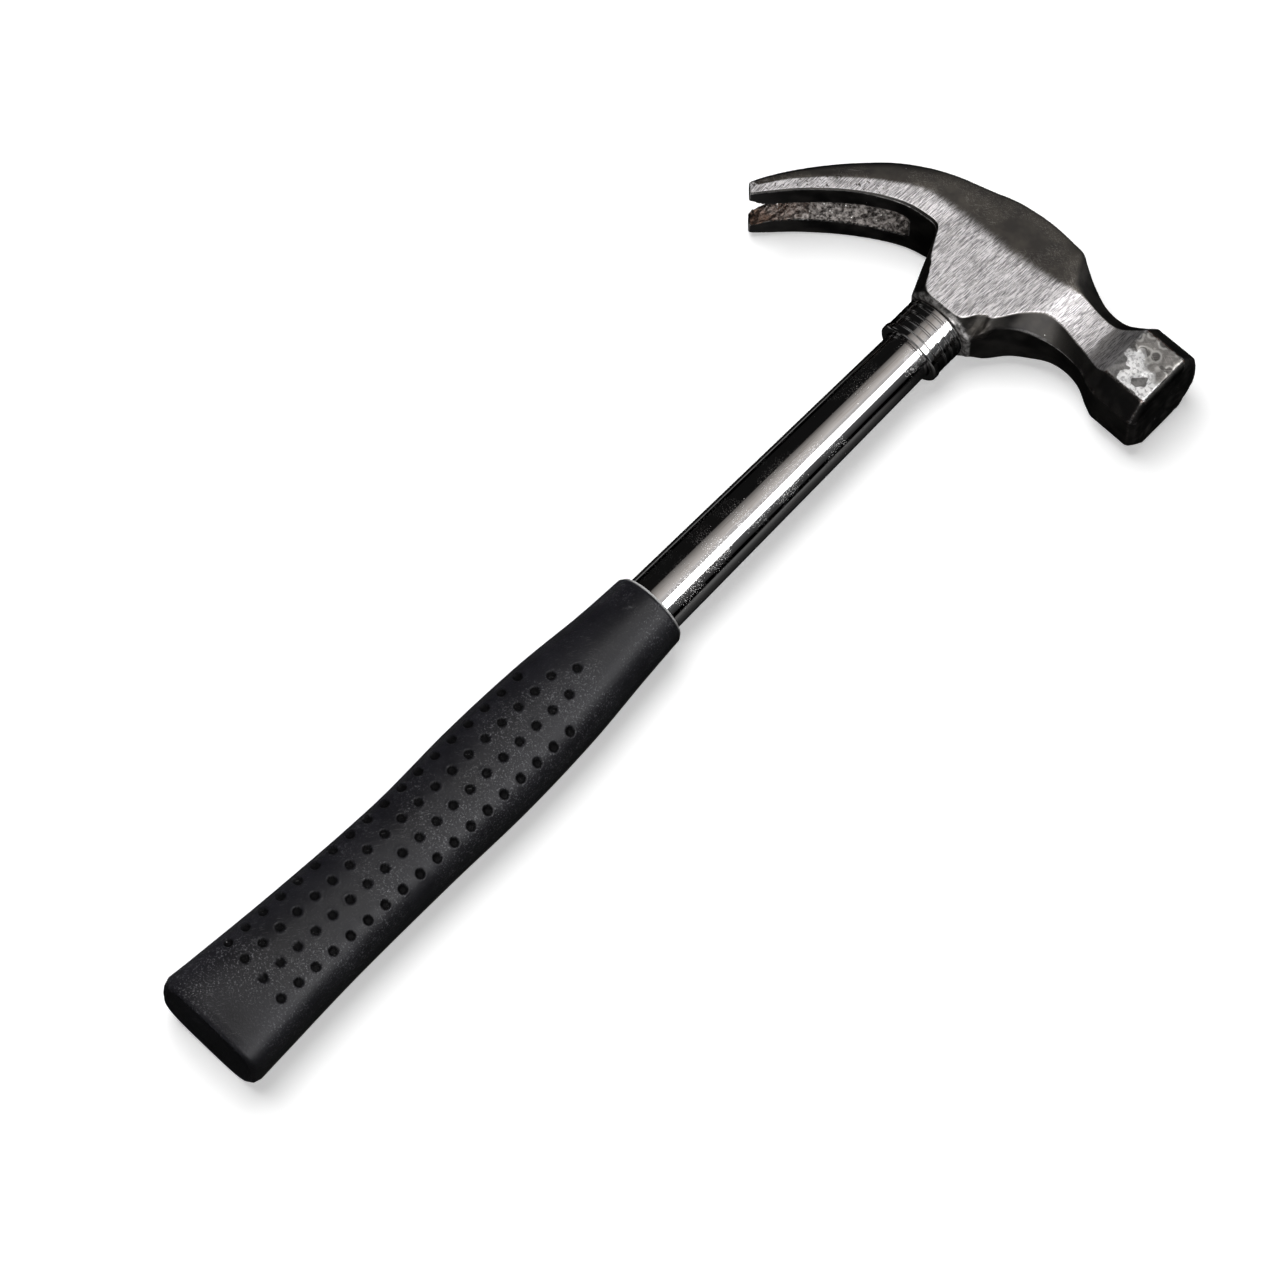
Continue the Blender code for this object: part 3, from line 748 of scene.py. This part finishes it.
class Nodes:
    """A node tree under construction. Each method adds nodes and returns an output."""

    def __init__(self, tree):
        self.tree = tree

    def feed(self, socket, value):
        """Link a node's output to a socket, or set the socket's own value."""
        if isinstance(value, bpy.types.NodeSocket):
            self.tree.links.new(value, socket)
        elif isinstance(value, tuple) and len(value) == 3 and socket.type == "RGBA":
            socket.default_value = (*value, 1.0)
        else:
            socket.default_value = value

    def node(self, kind, inputs, output=0, **settings):
        """One output of a new shader node with these inputs and settings."""
        node = self.tree.nodes.new("ShaderNode" + kind)
        for name, value in settings.items():
            setattr(node, name, value)
        for key, value in inputs.items():
            self.feed(node.inputs[key], value)
        return node.outputs[output]

    def source(self, output="Object"):
        """Coordinates of the piece's own, or the world's directions."""
        return self.node("TexCoord", {}, output)

    def split(self, vector):
        """The three numbers of a vector."""
        node = self.tree.nodes.new("ShaderNodeSeparateXYZ")
        self.feed(node.inputs[0], vector)
        return node.outputs[:]

    def math(self, operation, a, b=0.0):
        return self.node("Math", {0: a, 1: b}, operation=operation)

    def times(self, a, b):
        return self.math("MULTIPLY", a, b)

    def plus(self, a, b):
        return self.math("ADD", a, b)

    def ramp(self, value, low, high, start=0.0, end=1.0, kind="SMOOTHSTEP"):
        """Step of a value from start at low to end at high."""
        inputs = {"Value": value, "From Min": low, "From Max": high, "To Min": start, "To Max": end}
        return self.node("MapRange", inputs, interpolation_type=kind)


class Coat(Nodes):
    """A material, with the colour and the relief laid on it so far."""

    def __init__(self, name):
        self.material = bpy.data.materials.new(name)
        self.material.use_nodes = True
        super().__init__(self.material.node_tree)
        self.shader = self.tree.nodes["Principled BSDF"]
        self.colour = None
        self.normal = None

    def set(self, **values):
        """Feed the Principled shader's sockets, named with _ for a space."""
        for name, value in values.items():
            self.feed(self.shader.inputs[name.replace("_", " ")], value)

    def done(self, **values):
        """The material, with its colour, its relief and these other values set."""
        self.set(Base_Color=self.colour, Normal=self.normal, **values)
        return self.material

    def scaled(self, size, turn=(0, 0, 0)):
        """The piece's own coordinates, turned, in units of a size in mm or one for each axis."""
        sizes = size if isinstance(size, tuple) else (size,) * 3
        scale = tuple(1 / (MM * s) for s in sizes)
        turned_first = self.node("Mapping", {"Vector": self.source(), "Rotation": turn})
        return self.node("Mapping", {"Vector": turned_first, "Scale": scale})

    def noise(self, size, detail=2.0, roughness=0.5, turn=(0, 0, 0)):
        """Noise of 0 to 1, with lumps of a size in mm or of a size for each axis."""
        inputs = {"Vector": self.scaled(size, turn), "Scale": 1.0, "Detail": detail, "Roughness": roughness}
        return self.node("TexNoise", inputs, "Fac")

    def cells(self, size):
        """Distance from the middles of Voronoi cells of a size in mm."""
        return self.node("TexVoronoi", {"Vector": self.scaled(size), "Scale": 1.0}, "Distance")

    def specks(self, size, radius, share):
        """Small round specks, in a share of the cells of a size in mm."""
        cells = self.cells(size)
        dot = self.ramp(cells, radius, radius * 0.5)
        pick = self.node("SeparateColor", {"Color": cells.node.outputs["Color"]}, "Red")
        return self.times(dot, self.math("LESS_THAN", pick, share))

    def scratches(self, turn, width, length, rarity):
        """Thin straight scratches along one direction, in patches, 1 on a scratch."""
        line = self.noise((width, length, width), 1.0, 0.5, turn=(0, 0, turn))
        patch = self.noise(14.0, 1.0)
        return self.times(self.ramp(line, rarity, rarity + 0.04), self.ramp(patch, 0.46, 0.56))

    def mask(self, name):
        return self.node("Attribute", {}, "Fac", attribute_name=name)

    def mix(self, share, a, b):
        """Colour a where share is 0, b where it is 1."""
        return self.node("Mix", {0: share, 6: a, 7: b}, 2, data_type="RGBA")

    def paint(self, share, colour):
        """Lay a colour over what is there, as far as share says."""
        self.colour = self.mix(share, self.colour, colour)

    def emboss(self, height, depth):
        """Raise the surface by height times depth in mm."""
        inputs = {"Height": height, "Strength": 1.0, "Distance": depth * MM}
        if self.normal is not None:
            inputs["Normal"] = self.normal
        self.normal = self.node("Bump", inputs)


def ground_steel(coat, streaks, grinding):
    """Bright steel with fine grinding lines, broad dull stretches and a few nicks."""
    broad = coat.noise((1.1, 12.0, 3.0), turn=grinding)
    steel = coat.mix(coat.ramp(streaks, 0.37, 0.60), (0.23, 0.22, 0.23), (1.0, 0.97, 0.985))
    steel = coat.mix(coat.ramp(broad, 0.42, 0.7, 0.0, 0.35), steel, (0.30, 0.285, 0.28))
    nicks = coat.specks(3.0, 0.06, 0.30)
    return coat.mix(coat.times(nicks, 0.8), steel, (0.10, 0.09, 0.09))


def scale_lit_and_shaded(coat, cloud):
    """Brown-grey scale on what faces up towards the light, painted near black as shade on the edges of the
    forging that turn from it.
    """
    clouded = coat.ramp(cloud, 0.35, 0.65)
    # Lit and shaded copies of the same scale: painted light and painted shade.
    light = coat.mix(clouded, (0.105, 0.097, 0.090), (0.155, 0.142, 0.125))
    dark = coat.mix(clouded, (0.018, 0.017, 0.017), (0.032, 0.030, 0.028))
    return coat.mix(coat.mask("up"), dark, light)


def struck_poll(coat, cloud, dents):
    """Side of the poll: hammered below, dull and dented above; the bright lower part is a painted highlight
    and the dull upper part painted shade.
    """
    hammered = coat.ramp(coat.noise(1.0, 3.0, 0.65), 0.36, 0.56)
    bright = coat.mix(hammered, (0.50, 0.49, 0.50), (1.0, 1.0, 1.0))
    dented = coat.mix(coat.ramp(dents, 0.30, 0.46), (0.11, 0.105, 0.10), (0.48, 0.47, 0.45))
    dented = coat.mix(coat.ramp(dents, 0.46, 0.62), dented, (0.22, 0.21, 0.20))
    # Painted highlight on the lower part, painted shade towards the top.
    halfway = coat.plus(coat.mask("poll_top"), coat.ramp(cloud, 0.3, 0.7, -0.4, 0.4))
    return coat.mix(coat.ramp(halfway, 0.42, 0.80), bright, dented)


def torn_wall(coat, cloud, crumbs):
    """Wall of the slot: crumbly grey steel with painted glints, dark patches towards its narrow crown side,
    and rust at the tips.
    """
    torn = coat.mix(coat.ramp(crumbs, 0.36, 0.62), (0.055, 0.048, 0.044), (0.34, 0.315, 0.30))
    rusty = coat.times(coat.mask("tip"), coat.ramp(cloud, 0.3, 0.5, 0.5, 0.9))
    torn = coat.mix(rusty, torn, (0.13, 0.080, 0.058))
    # Painted glints: white specks that stand in for light caught on the crumbs.
    painted_glint = coat.specks(0.8, 0.32, 0.22)
    painted_glint = coat.times(painted_glint, coat.ramp(coat.noise(3.0, 1.0), 0.42, 0.55))
    torn = coat.mix(painted_glint, torn, (1.0, 0.98, 0.96))
    # Dark patches, darkest towards the slot's narrow crown side.
    dark_near_crown_side = coat.ramp(coat.noise((3.0, 3.0, 1.6), 3.0, 0.6), 0.50, 0.44)
    dark_near_crown_side = coat.times(dark_near_crown_side, coat.ramp(coat.mask("wall_low"), 0.62, 0.22))
    return coat.mix(coat.times(dark_near_crown_side, 0.95), torn, (0.012, 0.011, 0.010))


def forged_steel():
    """Ground cheeks fading into dark forged scale, partly as painted shade, torn slot walls with painted
    glints, bright worn edges with painted highlights along the creases, and rust.
    """
    coat = Coat("forged_steel")
    grinding = (0, 0, math.radians(3))
    streaks = coat.noise((0.24, 3.0, 0.5), 3.0, 0.7, turn=grinding)
    cloud = coat.noise(7.0, 3.0, 0.6)
    grain = coat.noise(0.35, 3.0, 0.7)
    crumbs = coat.noise(1.3, 4.0, 0.65)
    edge, wall, poll, claw = (coat.mask(name) for name in ("edge", "wall", "poll", "claw"))

    # Where the steel is bare: on the ground side, less on the shoulder, pitted on the claws. The ground
    # side ends in painted shade along the sheen line.
    ragged = coat.plus(coat.mask("ground_sheen"), coat.ramp(streaks, 0.25, 0.75, -0.10, 0.10))
    pitting = coat.ramp(coat.noise(0.9, 3.0, 0.6), 0.42, 0.34, 0.0, 0.9)
    bare = coat.ramp(coat.math("SUBTRACT", ragged, coat.times(pitting, claw)), 0.10, 0.90)
    bare = coat.times(bare, coat.ramp(coat.mask("shoulder"), 0.1, 0.9, 1.0, 0.45))
    coat.colour = coat.mix(bare, scale_lit_and_shaded(coat, cloud), ground_steel(coat, streaks, grinding))

    flat = coat.times(poll, bare)
    dents = coat.plus(coat.cells(3.6), coat.ramp(cloud, 0.3, 0.7, -0.12, 0.12))
    coat.paint(flat, struck_poll(coat, cloud, dents))
    patch = coat.times(flat, coat.ramp(coat.noise(4.2, 1.0, 0.4), 0.60, 0.615))
    coat.paint(coat.times(patch, 0.85), (0.10, 0.096, 0.092))

    # Light edges: partly real wear, partly painted highlight along the creases and round the eye's foot.
    worn = coat.times(edge, coat.ramp(grain, 0.30, 0.55, 0.25, 1.0))
    worn = coat.times(worn, coat.ramp(coat.noise(1.8), 0.36, 0.58, 0.25, 1.0))
    chipped = coat.ramp(coat.noise(0.8, 3.0, 0.6), 0.56, 0.46, 0.0, 0.85)
    worn = coat.times(worn, coat.math("SUBTRACT", 1.0, coat.times(chipped, poll)))
    coat.paint(worn, (0.90, 0.88, 0.87))
    coat.paint(wall, torn_wall(coat, cloud, crumbs))

    rust = coat.times(coat.times(edge, poll), coat.ramp(coat.noise(1.3, 3.0, 0.6), 0.47, 0.53))
    coat.paint(rust, (0.085, 0.030, 0.014))
    coat.paint(coat.times(coat.mask("residue"), 0.7), (0.05, 0.045, 0.04))

    long_scratches = coat.scratches(math.radians(52), 0.16, 9.0, 0.63)
    cross_scratches = coat.scratches(math.radians(-65), 0.14, 5.0, 0.63)
    scratch = coat.math("MAXIMUM", long_scratches, cross_scratches)
    # Scratches fade where the surface turns from the light: painted shade.
    scratch = coat.times(scratch, coat.ramp(coat.mask("up"), 0.3, 1.0, 0.06, 1.0))
    coat.paint(coat.times(scratch, 0.42), (0.50, 0.47, 0.44))
    coat.paint(coat.specks(2.4, 0.06, 0.20), (0.80, 0.79, 0.77))

    rough = coat.ramp(cloud, 0.3, 0.7, 0.36, 0.46)
    rough = coat.plus(rough, coat.ramp(bare, 0.0, 1.0, 0.0, 0.03))
    rough = coat.plus(rough, coat.ramp(patch, 0.0, 1.0, 0.0, -0.10))
    coat.emboss(coat.times(streaks, bare), 0.060)
    coat.emboss(grain, 0.018)
    coat.emboss(coat.times(crumbs, wall), 0.9)
    coat.emboss(coat.times(dents, flat), 0.5)
    coat.emboss(scratch, -0.012)
    tangent = coat.node("Tangent", {}, direction_type="UV_MAP", uv_map="brushing")
    metallic = coat.ramp(bare, 0.0, 1.0, 0.93, 0.58)
    return coat.done(Roughness=rough, Metallic=metallic, Anisotropic=0.55, Tangent=tangent)


def chrome(name, waviness, roughness, marking=1.0):
    """Bright plating with a faint waviness, haze, brown streaks and fine marks."""
    coat = Coat(name)
    haze = coat.noise(5.0, 4.0, 0.6)
    specks = coat.specks(3.2, 0.06, 0.22)
    mark = coat.math("MAXIMUM", specks, coat.specks(0.9, 0.10, 0.10))
    pocks = coat.ramp(coat.noise(0.30, 2.0, 0.6), 0.60, 0.72)
    pocks = coat.times(pocks, coat.ramp(coat.noise(12.0, 1.0), 0.42, 0.60))
    streaks = coat.noise((0.5, 16.0, 0.5), 2.0, 0.6)
    coat.colour = coat.mix(coat.ramp(haze, 0.4, 0.75), (0.565, 0.56, 0.56), (0.53, 0.52, 0.515))
    coat.paint(coat.ramp(streaks, 0.5, 0.72, 0.0, 0.42), (0.38, 0.33, 0.30))
    coat.paint(coat.times(specks, 0.8), (0.62, 0.60, 0.58))
    rough = coat.ramp(haze, 0.45, 0.8, roughness, roughness + 0.05)
    rough = coat.plus(rough, coat.times(mark, 0.45 * marking))
    coat.emboss(coat.noise((6.0, 22.0, 6.0)), waviness)
    coat.emboss(mark, 0.02 * marking)
    coat.emboss(pocks, 0.02 * marking)
    return coat.done(Roughness=rough, Metallic=1.0)


def black_rubber():
    """Charcoal moulded rubber: fine grain, dusty patches, scuffs, dimples painted darker as shade, and a
    painted highlight on the mouth's rim.
    """
    coat = Coat("black_rubber")
    grain = coat.noise(0.55, 3.0, 0.7)
    cloud = coat.noise(16.0, 3.0, 0.6)
    dusty = coat.ramp(coat.noise(22.0), 0.42, 0.62, 0.10, 1.0)
    pit = coat.mask("pit")
    clouded = coat.ramp(cloud, 0.3, 0.7)
    coat.colour = coat.mix(clouded, (0.0042, 0.0041, 0.0054), (0.0070, 0.0069, 0.0088))
    fine_dust = coat.times(coat.ramp(grain, 0.54, 0.66), dusty)
    coat.paint(coat.times(fine_dust, 0.38), (0.15, 0.15, 0.16))
    lint = coat.times(coat.specks(1.1, 0.12, 0.12), coat.times(dusty, 0.6))
    coat.paint(lint, (0.3, 0.3, 0.3))
    coat.paint(coat.specks(6.0, 0.045, 0.14), (0.7, 0.7, 0.7))
    # Painted highlight along the mouth's rim.
    coat.paint(coat.times(coat.mask("rim"), 0.9), (0.42, 0.42, 0.42))
    # Painted shade in the dimples.
    coat.paint(coat.times(pit, 0.9), (0.002, 0.002, 0.002))
    scuff = coat.scratches(math.radians(35), 0.15, 7.0, 0.67)
    coat.paint(coat.times(scuff, 0.3), (0.12, 0.12, 0.12))
    rough = coat.plus(coat.ramp(cloud, 0.3, 0.7, 0.34, 0.42), coat.times(pit, 0.2))
    coat.emboss(grain, 0.07)
    gloss = coat.ramp(pit, 0.0, 1.0, 0.16, 0.02)
    return coat.done(Roughness=rough, Metallic=0.0, Specular_IOR_Level=gloss)


def cured_resin():
    """Dark brown bonding resin with dust and small bubbles."""
    coat = Coat("cured_resin")
    cloud = coat.noise(1.2, 3.0, 0.6)
    coat.colour = coat.mix(coat.ramp(cloud, 0.35, 0.65), (0.035, 0.024, 0.015), (0.12, 0.09, 0.06))
    coat.emboss(coat.cells(0.5), -0.08)
    return coat.done(Roughness=coat.ramp(cloud, 0.3, 0.7, 0.3, 0.55))


def cut_steel():
    """Plain steel of the expander, with turning marks and some tarnish."""
    coat = Coat("cut_steel")
    cloud = coat.noise(2.0, 3.0, 0.6)
    coat.colour = coat.mix(coat.ramp(cloud, 0.4, 0.7), (0.40, 0.385, 0.37), (0.16, 0.12, 0.09))
    coat.emboss(coat.noise((0.25, 2.0, 2.0)), 0.03)
    return coat.done(Roughness=coat.ramp(cloud, 0.3, 0.7, 0.32, 0.5), Metallic=1.0)


def plug_plastic():
    """Dark moulded plastic of the end plug."""
    coat = Coat("plug_plastic")
    cloud = coat.noise(3.0, 3.0, 0.6)
    coat.colour = coat.mix(cloud, (0.03, 0.03, 0.034), (0.07, 0.07, 0.075))
    coat.emboss(coat.noise(0.3), 0.02)
    return coat.done(Roughness=coat.ramp(cloud, 0.3, 0.7, 0.42, 0.58))


# ---- stage, light and camera

WHITE = (1.0, 1.0, 1.0)
BLACK = (0.0, 0.0, 0.0)
FLOOR_HALF = 6.0
FLOOR_DROP = 0.0002
FLOOR_COLOUR = (0.8, 0.8, 0.8)
# Distances from the hammer between which the floor's glow rises, and the glow there.
FLOOR_GLOW = (0.35, 2.0, 0.47, 1.0)
DOME_RADIUS = 9.0
# Brightness of the floor as the hammer's plating mirrors it, by x in metres: a painted reflection, dark in
# the tube's painted shadow and lighter further out.
MIRRORED_FLOOR = (
    (-0.062, 0.0), (-0.056, 0.26), (-0.047, 0.26), (-0.041, 0.012), (0.012, 0.012),
    (0.026, 0.045), (0.050, 0.17), (0.070, 0.17), (0.076, 0.0),
)
# The heights y in metres between which it darkens under the head as a painted shadow, and the brightness
# there.
MIRRORED_SHADOW_FADE = (0.095, 0.122, 1.0, 0.06)


def stage_coat(name, base, glow_colour):
    """Matt coat of the stage, whose glow is still to be set."""
    coat = Coat(name)
    coat.set(Base_Color=base, Roughness=1.0, Specular_IOR_Level=0.0, Emission_Color=glow_colour)
    return coat


def pale_floor():
    """Pale floor whose glow makes up, far off, for what the lamps no longer give."""
    coat = stage_coat("pale_floor", FLOOR_COLOUR, WHITE)
    away = coat.node("VectorMath", {0: coat.source()}, "Value", operation="LENGTH")
    coat.set(Emission_Strength=coat.ramp(away, *FLOOR_GLOW, kind="LINEAR"))
    return coat.material


def mirrored_floor():
    """Floor for reflections, glowing as a painted reflection: dark far off, dark under the hammer as
    painted shadow, lighter beside it.
    """
    coat = stage_coat("floor_in_reflections", BLACK, BLACK)
    x, y, _ = coat.split(coat.source())
    low, high = MIRRORED_FLOOR[0][0], MIRRORED_FLOOR[-1][0]
    share = coat.ramp(x, low, high, kind="LINEAR")
    glow = coat.node("ValToRGB", {"Fac": share}, "Color")
    stops = glow.node.color_ramp.elements
    while len(stops) < len(MIRRORED_FLOOR):
        stops.new(0.5)
    for stop, (at, brightness) in zip(stops, MIRRORED_FLOOR):
        stop.position = (at - low) / (high - low)
        stop.color = (brightness, brightness, brightness, 1.0)
    coat.set(Emission_Color=glow, Emission_Strength=coat.ramp(y, *MIRRORED_SHADOW_FADE))
    return coat.material


def stage_plane(name, drop, material):
    """Large square under the hammer."""
    bpy.ops.mesh.primitive_plane_add(size=2 * FLOOR_HALF, location=(0.0, 0.0, -drop))
    plane = bpy.context.object
    plane.name = name
    plane.data.materials.append(material)
    return plane


def hide_from(obj, *rays):
    """Let these kinds of ray pass an object by."""
    for ray in rays:
        setattr(obj, "visible_" + ray, False)


def make_stage():
    """Pale floor that only the camera sees, a dark one for reflections, and a pale backdrop."""
    floor = stage_plane("floor", FLOOR_DROP, pale_floor())
    hide_from(floor, "glossy", "diffuse")
    under = stage_plane("floor_in_reflections", 2 * FLOOR_DROP, mirrored_floor())
    hide_from(under, "camera", "diffuse")
    bpy.ops.mesh.primitive_uv_sphere_add(segments=64, ring_count=32, radius=DOME_RADIUS)
    dome = bpy.context.object
    dome.name = "backdrop"
    backdrop = stage_coat("pale_backdrop", BLACK, WHITE)
    backdrop.set(Emission_Strength=1.0)
    dome.data.materials.append(backdrop.material)
    hide_from(dome, "glossy", "diffuse", "shadow")


# Soft boxes of the studio, by the angle from straight up towards +X and by how far they
# reach along Y: angles (degrees), Y range, brightness at the two angles, colour.
PANELS = (
    ((-26.0, 16.0), (-0.80, 0.47), (0.15, 0.89), (1.0, 0.945, 0.90)),
    ((16.0, 31.0), (-0.80, 0.47), (0.89, 0.68), (1.0, 0.97, 0.96)),
    ((31.8, 58.5), (-0.80, 0.70), (7.0, 7.0), WHITE),
    ((58.5, 94.0), (-0.80, 0.70), (0.16, 0.0), (0.95, 0.97, 1.0)),
)
PANEL_EDGE = 1.2        # degrees over which a panel's side fades
PANEL_END = 0.07        # and the share of Y over which its end fades
# Dimmer cards low behind the head, at both sides and before the butt: way to the card,
# cosines from its way at which it starts and is full, brightness.
CARDS = (
    ((-0.10, 0.97, 0.20), (0.62, 0.80), 0.34),
    ((0.99, -0.14, 0.10), (0.93, 0.98), 0.30),
    ((-0.99, -0.16, 0.10), (0.94, 0.98), 0.25),
    ((0.0, -0.99, 0.10), (0.80, 0.92), 0.22),
)
CARD_FOOT = 0.04        # share of Z over which a card fades at the horizon
AMBIENT = 0.0095


def make_world():
    """Dark studio with soft boxes and cards, worked out from direction. It lights no matt surface."""
    world = bpy.data.worlds.new("studio")
    bpy.context.scene.world = world
    world.use_nodes = True
    world.cycles_visibility.diffuse = False
    nodes = Nodes(world.node_tree)
    direction = nodes.source("Generated")
    x, y, z = nodes.split(direction)
    angle = nodes.math("DEGREES", nodes.math("ARCTAN2", x, z))
    lights = []
    for (low, high), (near, far), (start, end), colour in PANELS:
        side_in = nodes.ramp(angle, low - PANEL_EDGE / 2, low + PANEL_EDGE / 2)
        side_out = nodes.ramp(angle, high + PANEL_EDGE / 2, high - PANEL_EDGE / 2)
        end_in = nodes.ramp(y, near - PANEL_END, near)
        end_out = nodes.ramp(y, far + PANEL_END, far)
        mask = nodes.times(nodes.times(side_in, side_out), nodes.times(end_in, end_out))
        lights.append((colour, nodes.times(mask, nodes.ramp(angle, low, high, start, end, "LINEAR"))))
    above = nodes.ramp(z, 0.0, CARD_FOOT)
    for way, (outer, inner), brightness in CARDS:
        inputs = {0: direction, 1: Vector(way).normalized()}
        facing = nodes.node("VectorMath", inputs, "Value", operation="DOT_PRODUCT")
        lights.append((WHITE, nodes.times(nodes.ramp(facing, outer, inner, 0.0, brightness), above)))
    total = (AMBIENT,) * 3
    for colour, strength in lights:
        light = nodes.node("VectorMath", {0: colour, "Scale": strength}, operation="SCALE")
        total = nodes.node("VectorMath", {0: total, 1: light}, operation="ADD")
    nodes.feed(nodes.tree.nodes["Background"].inputs["Color"], total)


# Lamps: way to them, distance, size, power.
LIGHTS = {
    "soft_light": ((-0.24, 0.06, 0.97), 2.2, 1.6, 47.0),
    "fill_light": ((0.35, -1.0, 0.40), 2.2, 1.2, 7.0),
}
GRIP_LIGHT = ((0.13, 0.28, 0.95), 2.2, 0.8, 13.0)


def make_light(name, way, distance, size, power):
    """Round area light that faces the hammer."""
    lamp = bpy.data.lights.new(name, "AREA")
    lamp.shape = "DISK"
    lamp.size = size
    lamp.energy = power
    light = new_object(name, lamp)
    way = Vector(way).normalized()
    light.location = way * distance
    light.rotation_euler = way.to_track_quat("Z", "Y").to_euler()
    return light


def make_lights(grip):
    """Two lamps that show in no reflection, and one that gives only the grip a sheen."""
    for name, values in LIGHTS.items():
        hide_from(make_light(name, *values), "glossy")
    sheen = make_light("grip_light", *GRIP_LIGHT)
    lit = bpy.data.collections.new("lit_by_grip_light")
    lit.objects.link(grip)
    sheen.light_linking.receiver_collection = lit


def make_camera():
    """Camera that looks down at the hammer from beyond the grip and the striking face."""
    turn = (
        Matrix.Rotation(CAMERA_AZIMUTH, 4, "Z")
        @ Matrix.Rotation(math.pi / 2 - CAMERA_ELEVATION, 4, "X")
        @ Matrix.Rotation(CAMERA_ROLL, 4, "Z")
    )
    lens = bpy.data.cameras.new("camera")
    lens.lens = CAMERA_LENS
    lens.sensor_width = CAMERA_SENSOR
    lens.clip_end = CAMERA_REACH
    camera = new_object("camera", lens)
    target = Matrix.Translation(place(CAMERA_TARGET))
    camera.matrix_world = target @ turn @ Matrix.Translation((0.0, 0.0, CAMERA_DISTANCE * MM))
    bpy.context.scene.camera = camera


# ---- build

def build():
    """Make every piece, the stage, the light and the camera."""
    head = head_mesh()
    cut_eye(head)
    wear_head(head)
    add_piece(head, "head", forged_steel())
    make_tube(chrome("tube_chrome", 0.010, 0.035))
    make_ferrule(chrome("ferrule_chrome", 0.003, 0.06, 0.2))
    grip = make_grip(black_rubber())
    for node, material in (
        ("eye_bond", cured_resin()),
        ("eye_wedge", cut_steel()),
        ("shaft_end_plug", plug_plastic()),
    ):
        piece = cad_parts[node]
        piece.data.materials.clear()
        piece.data.materials.append(material)
    make_stage()
    make_world()
    make_lights(grip)
    make_camera()
    bpy.context.scene.view_settings.view_transform = "Standard"


build()
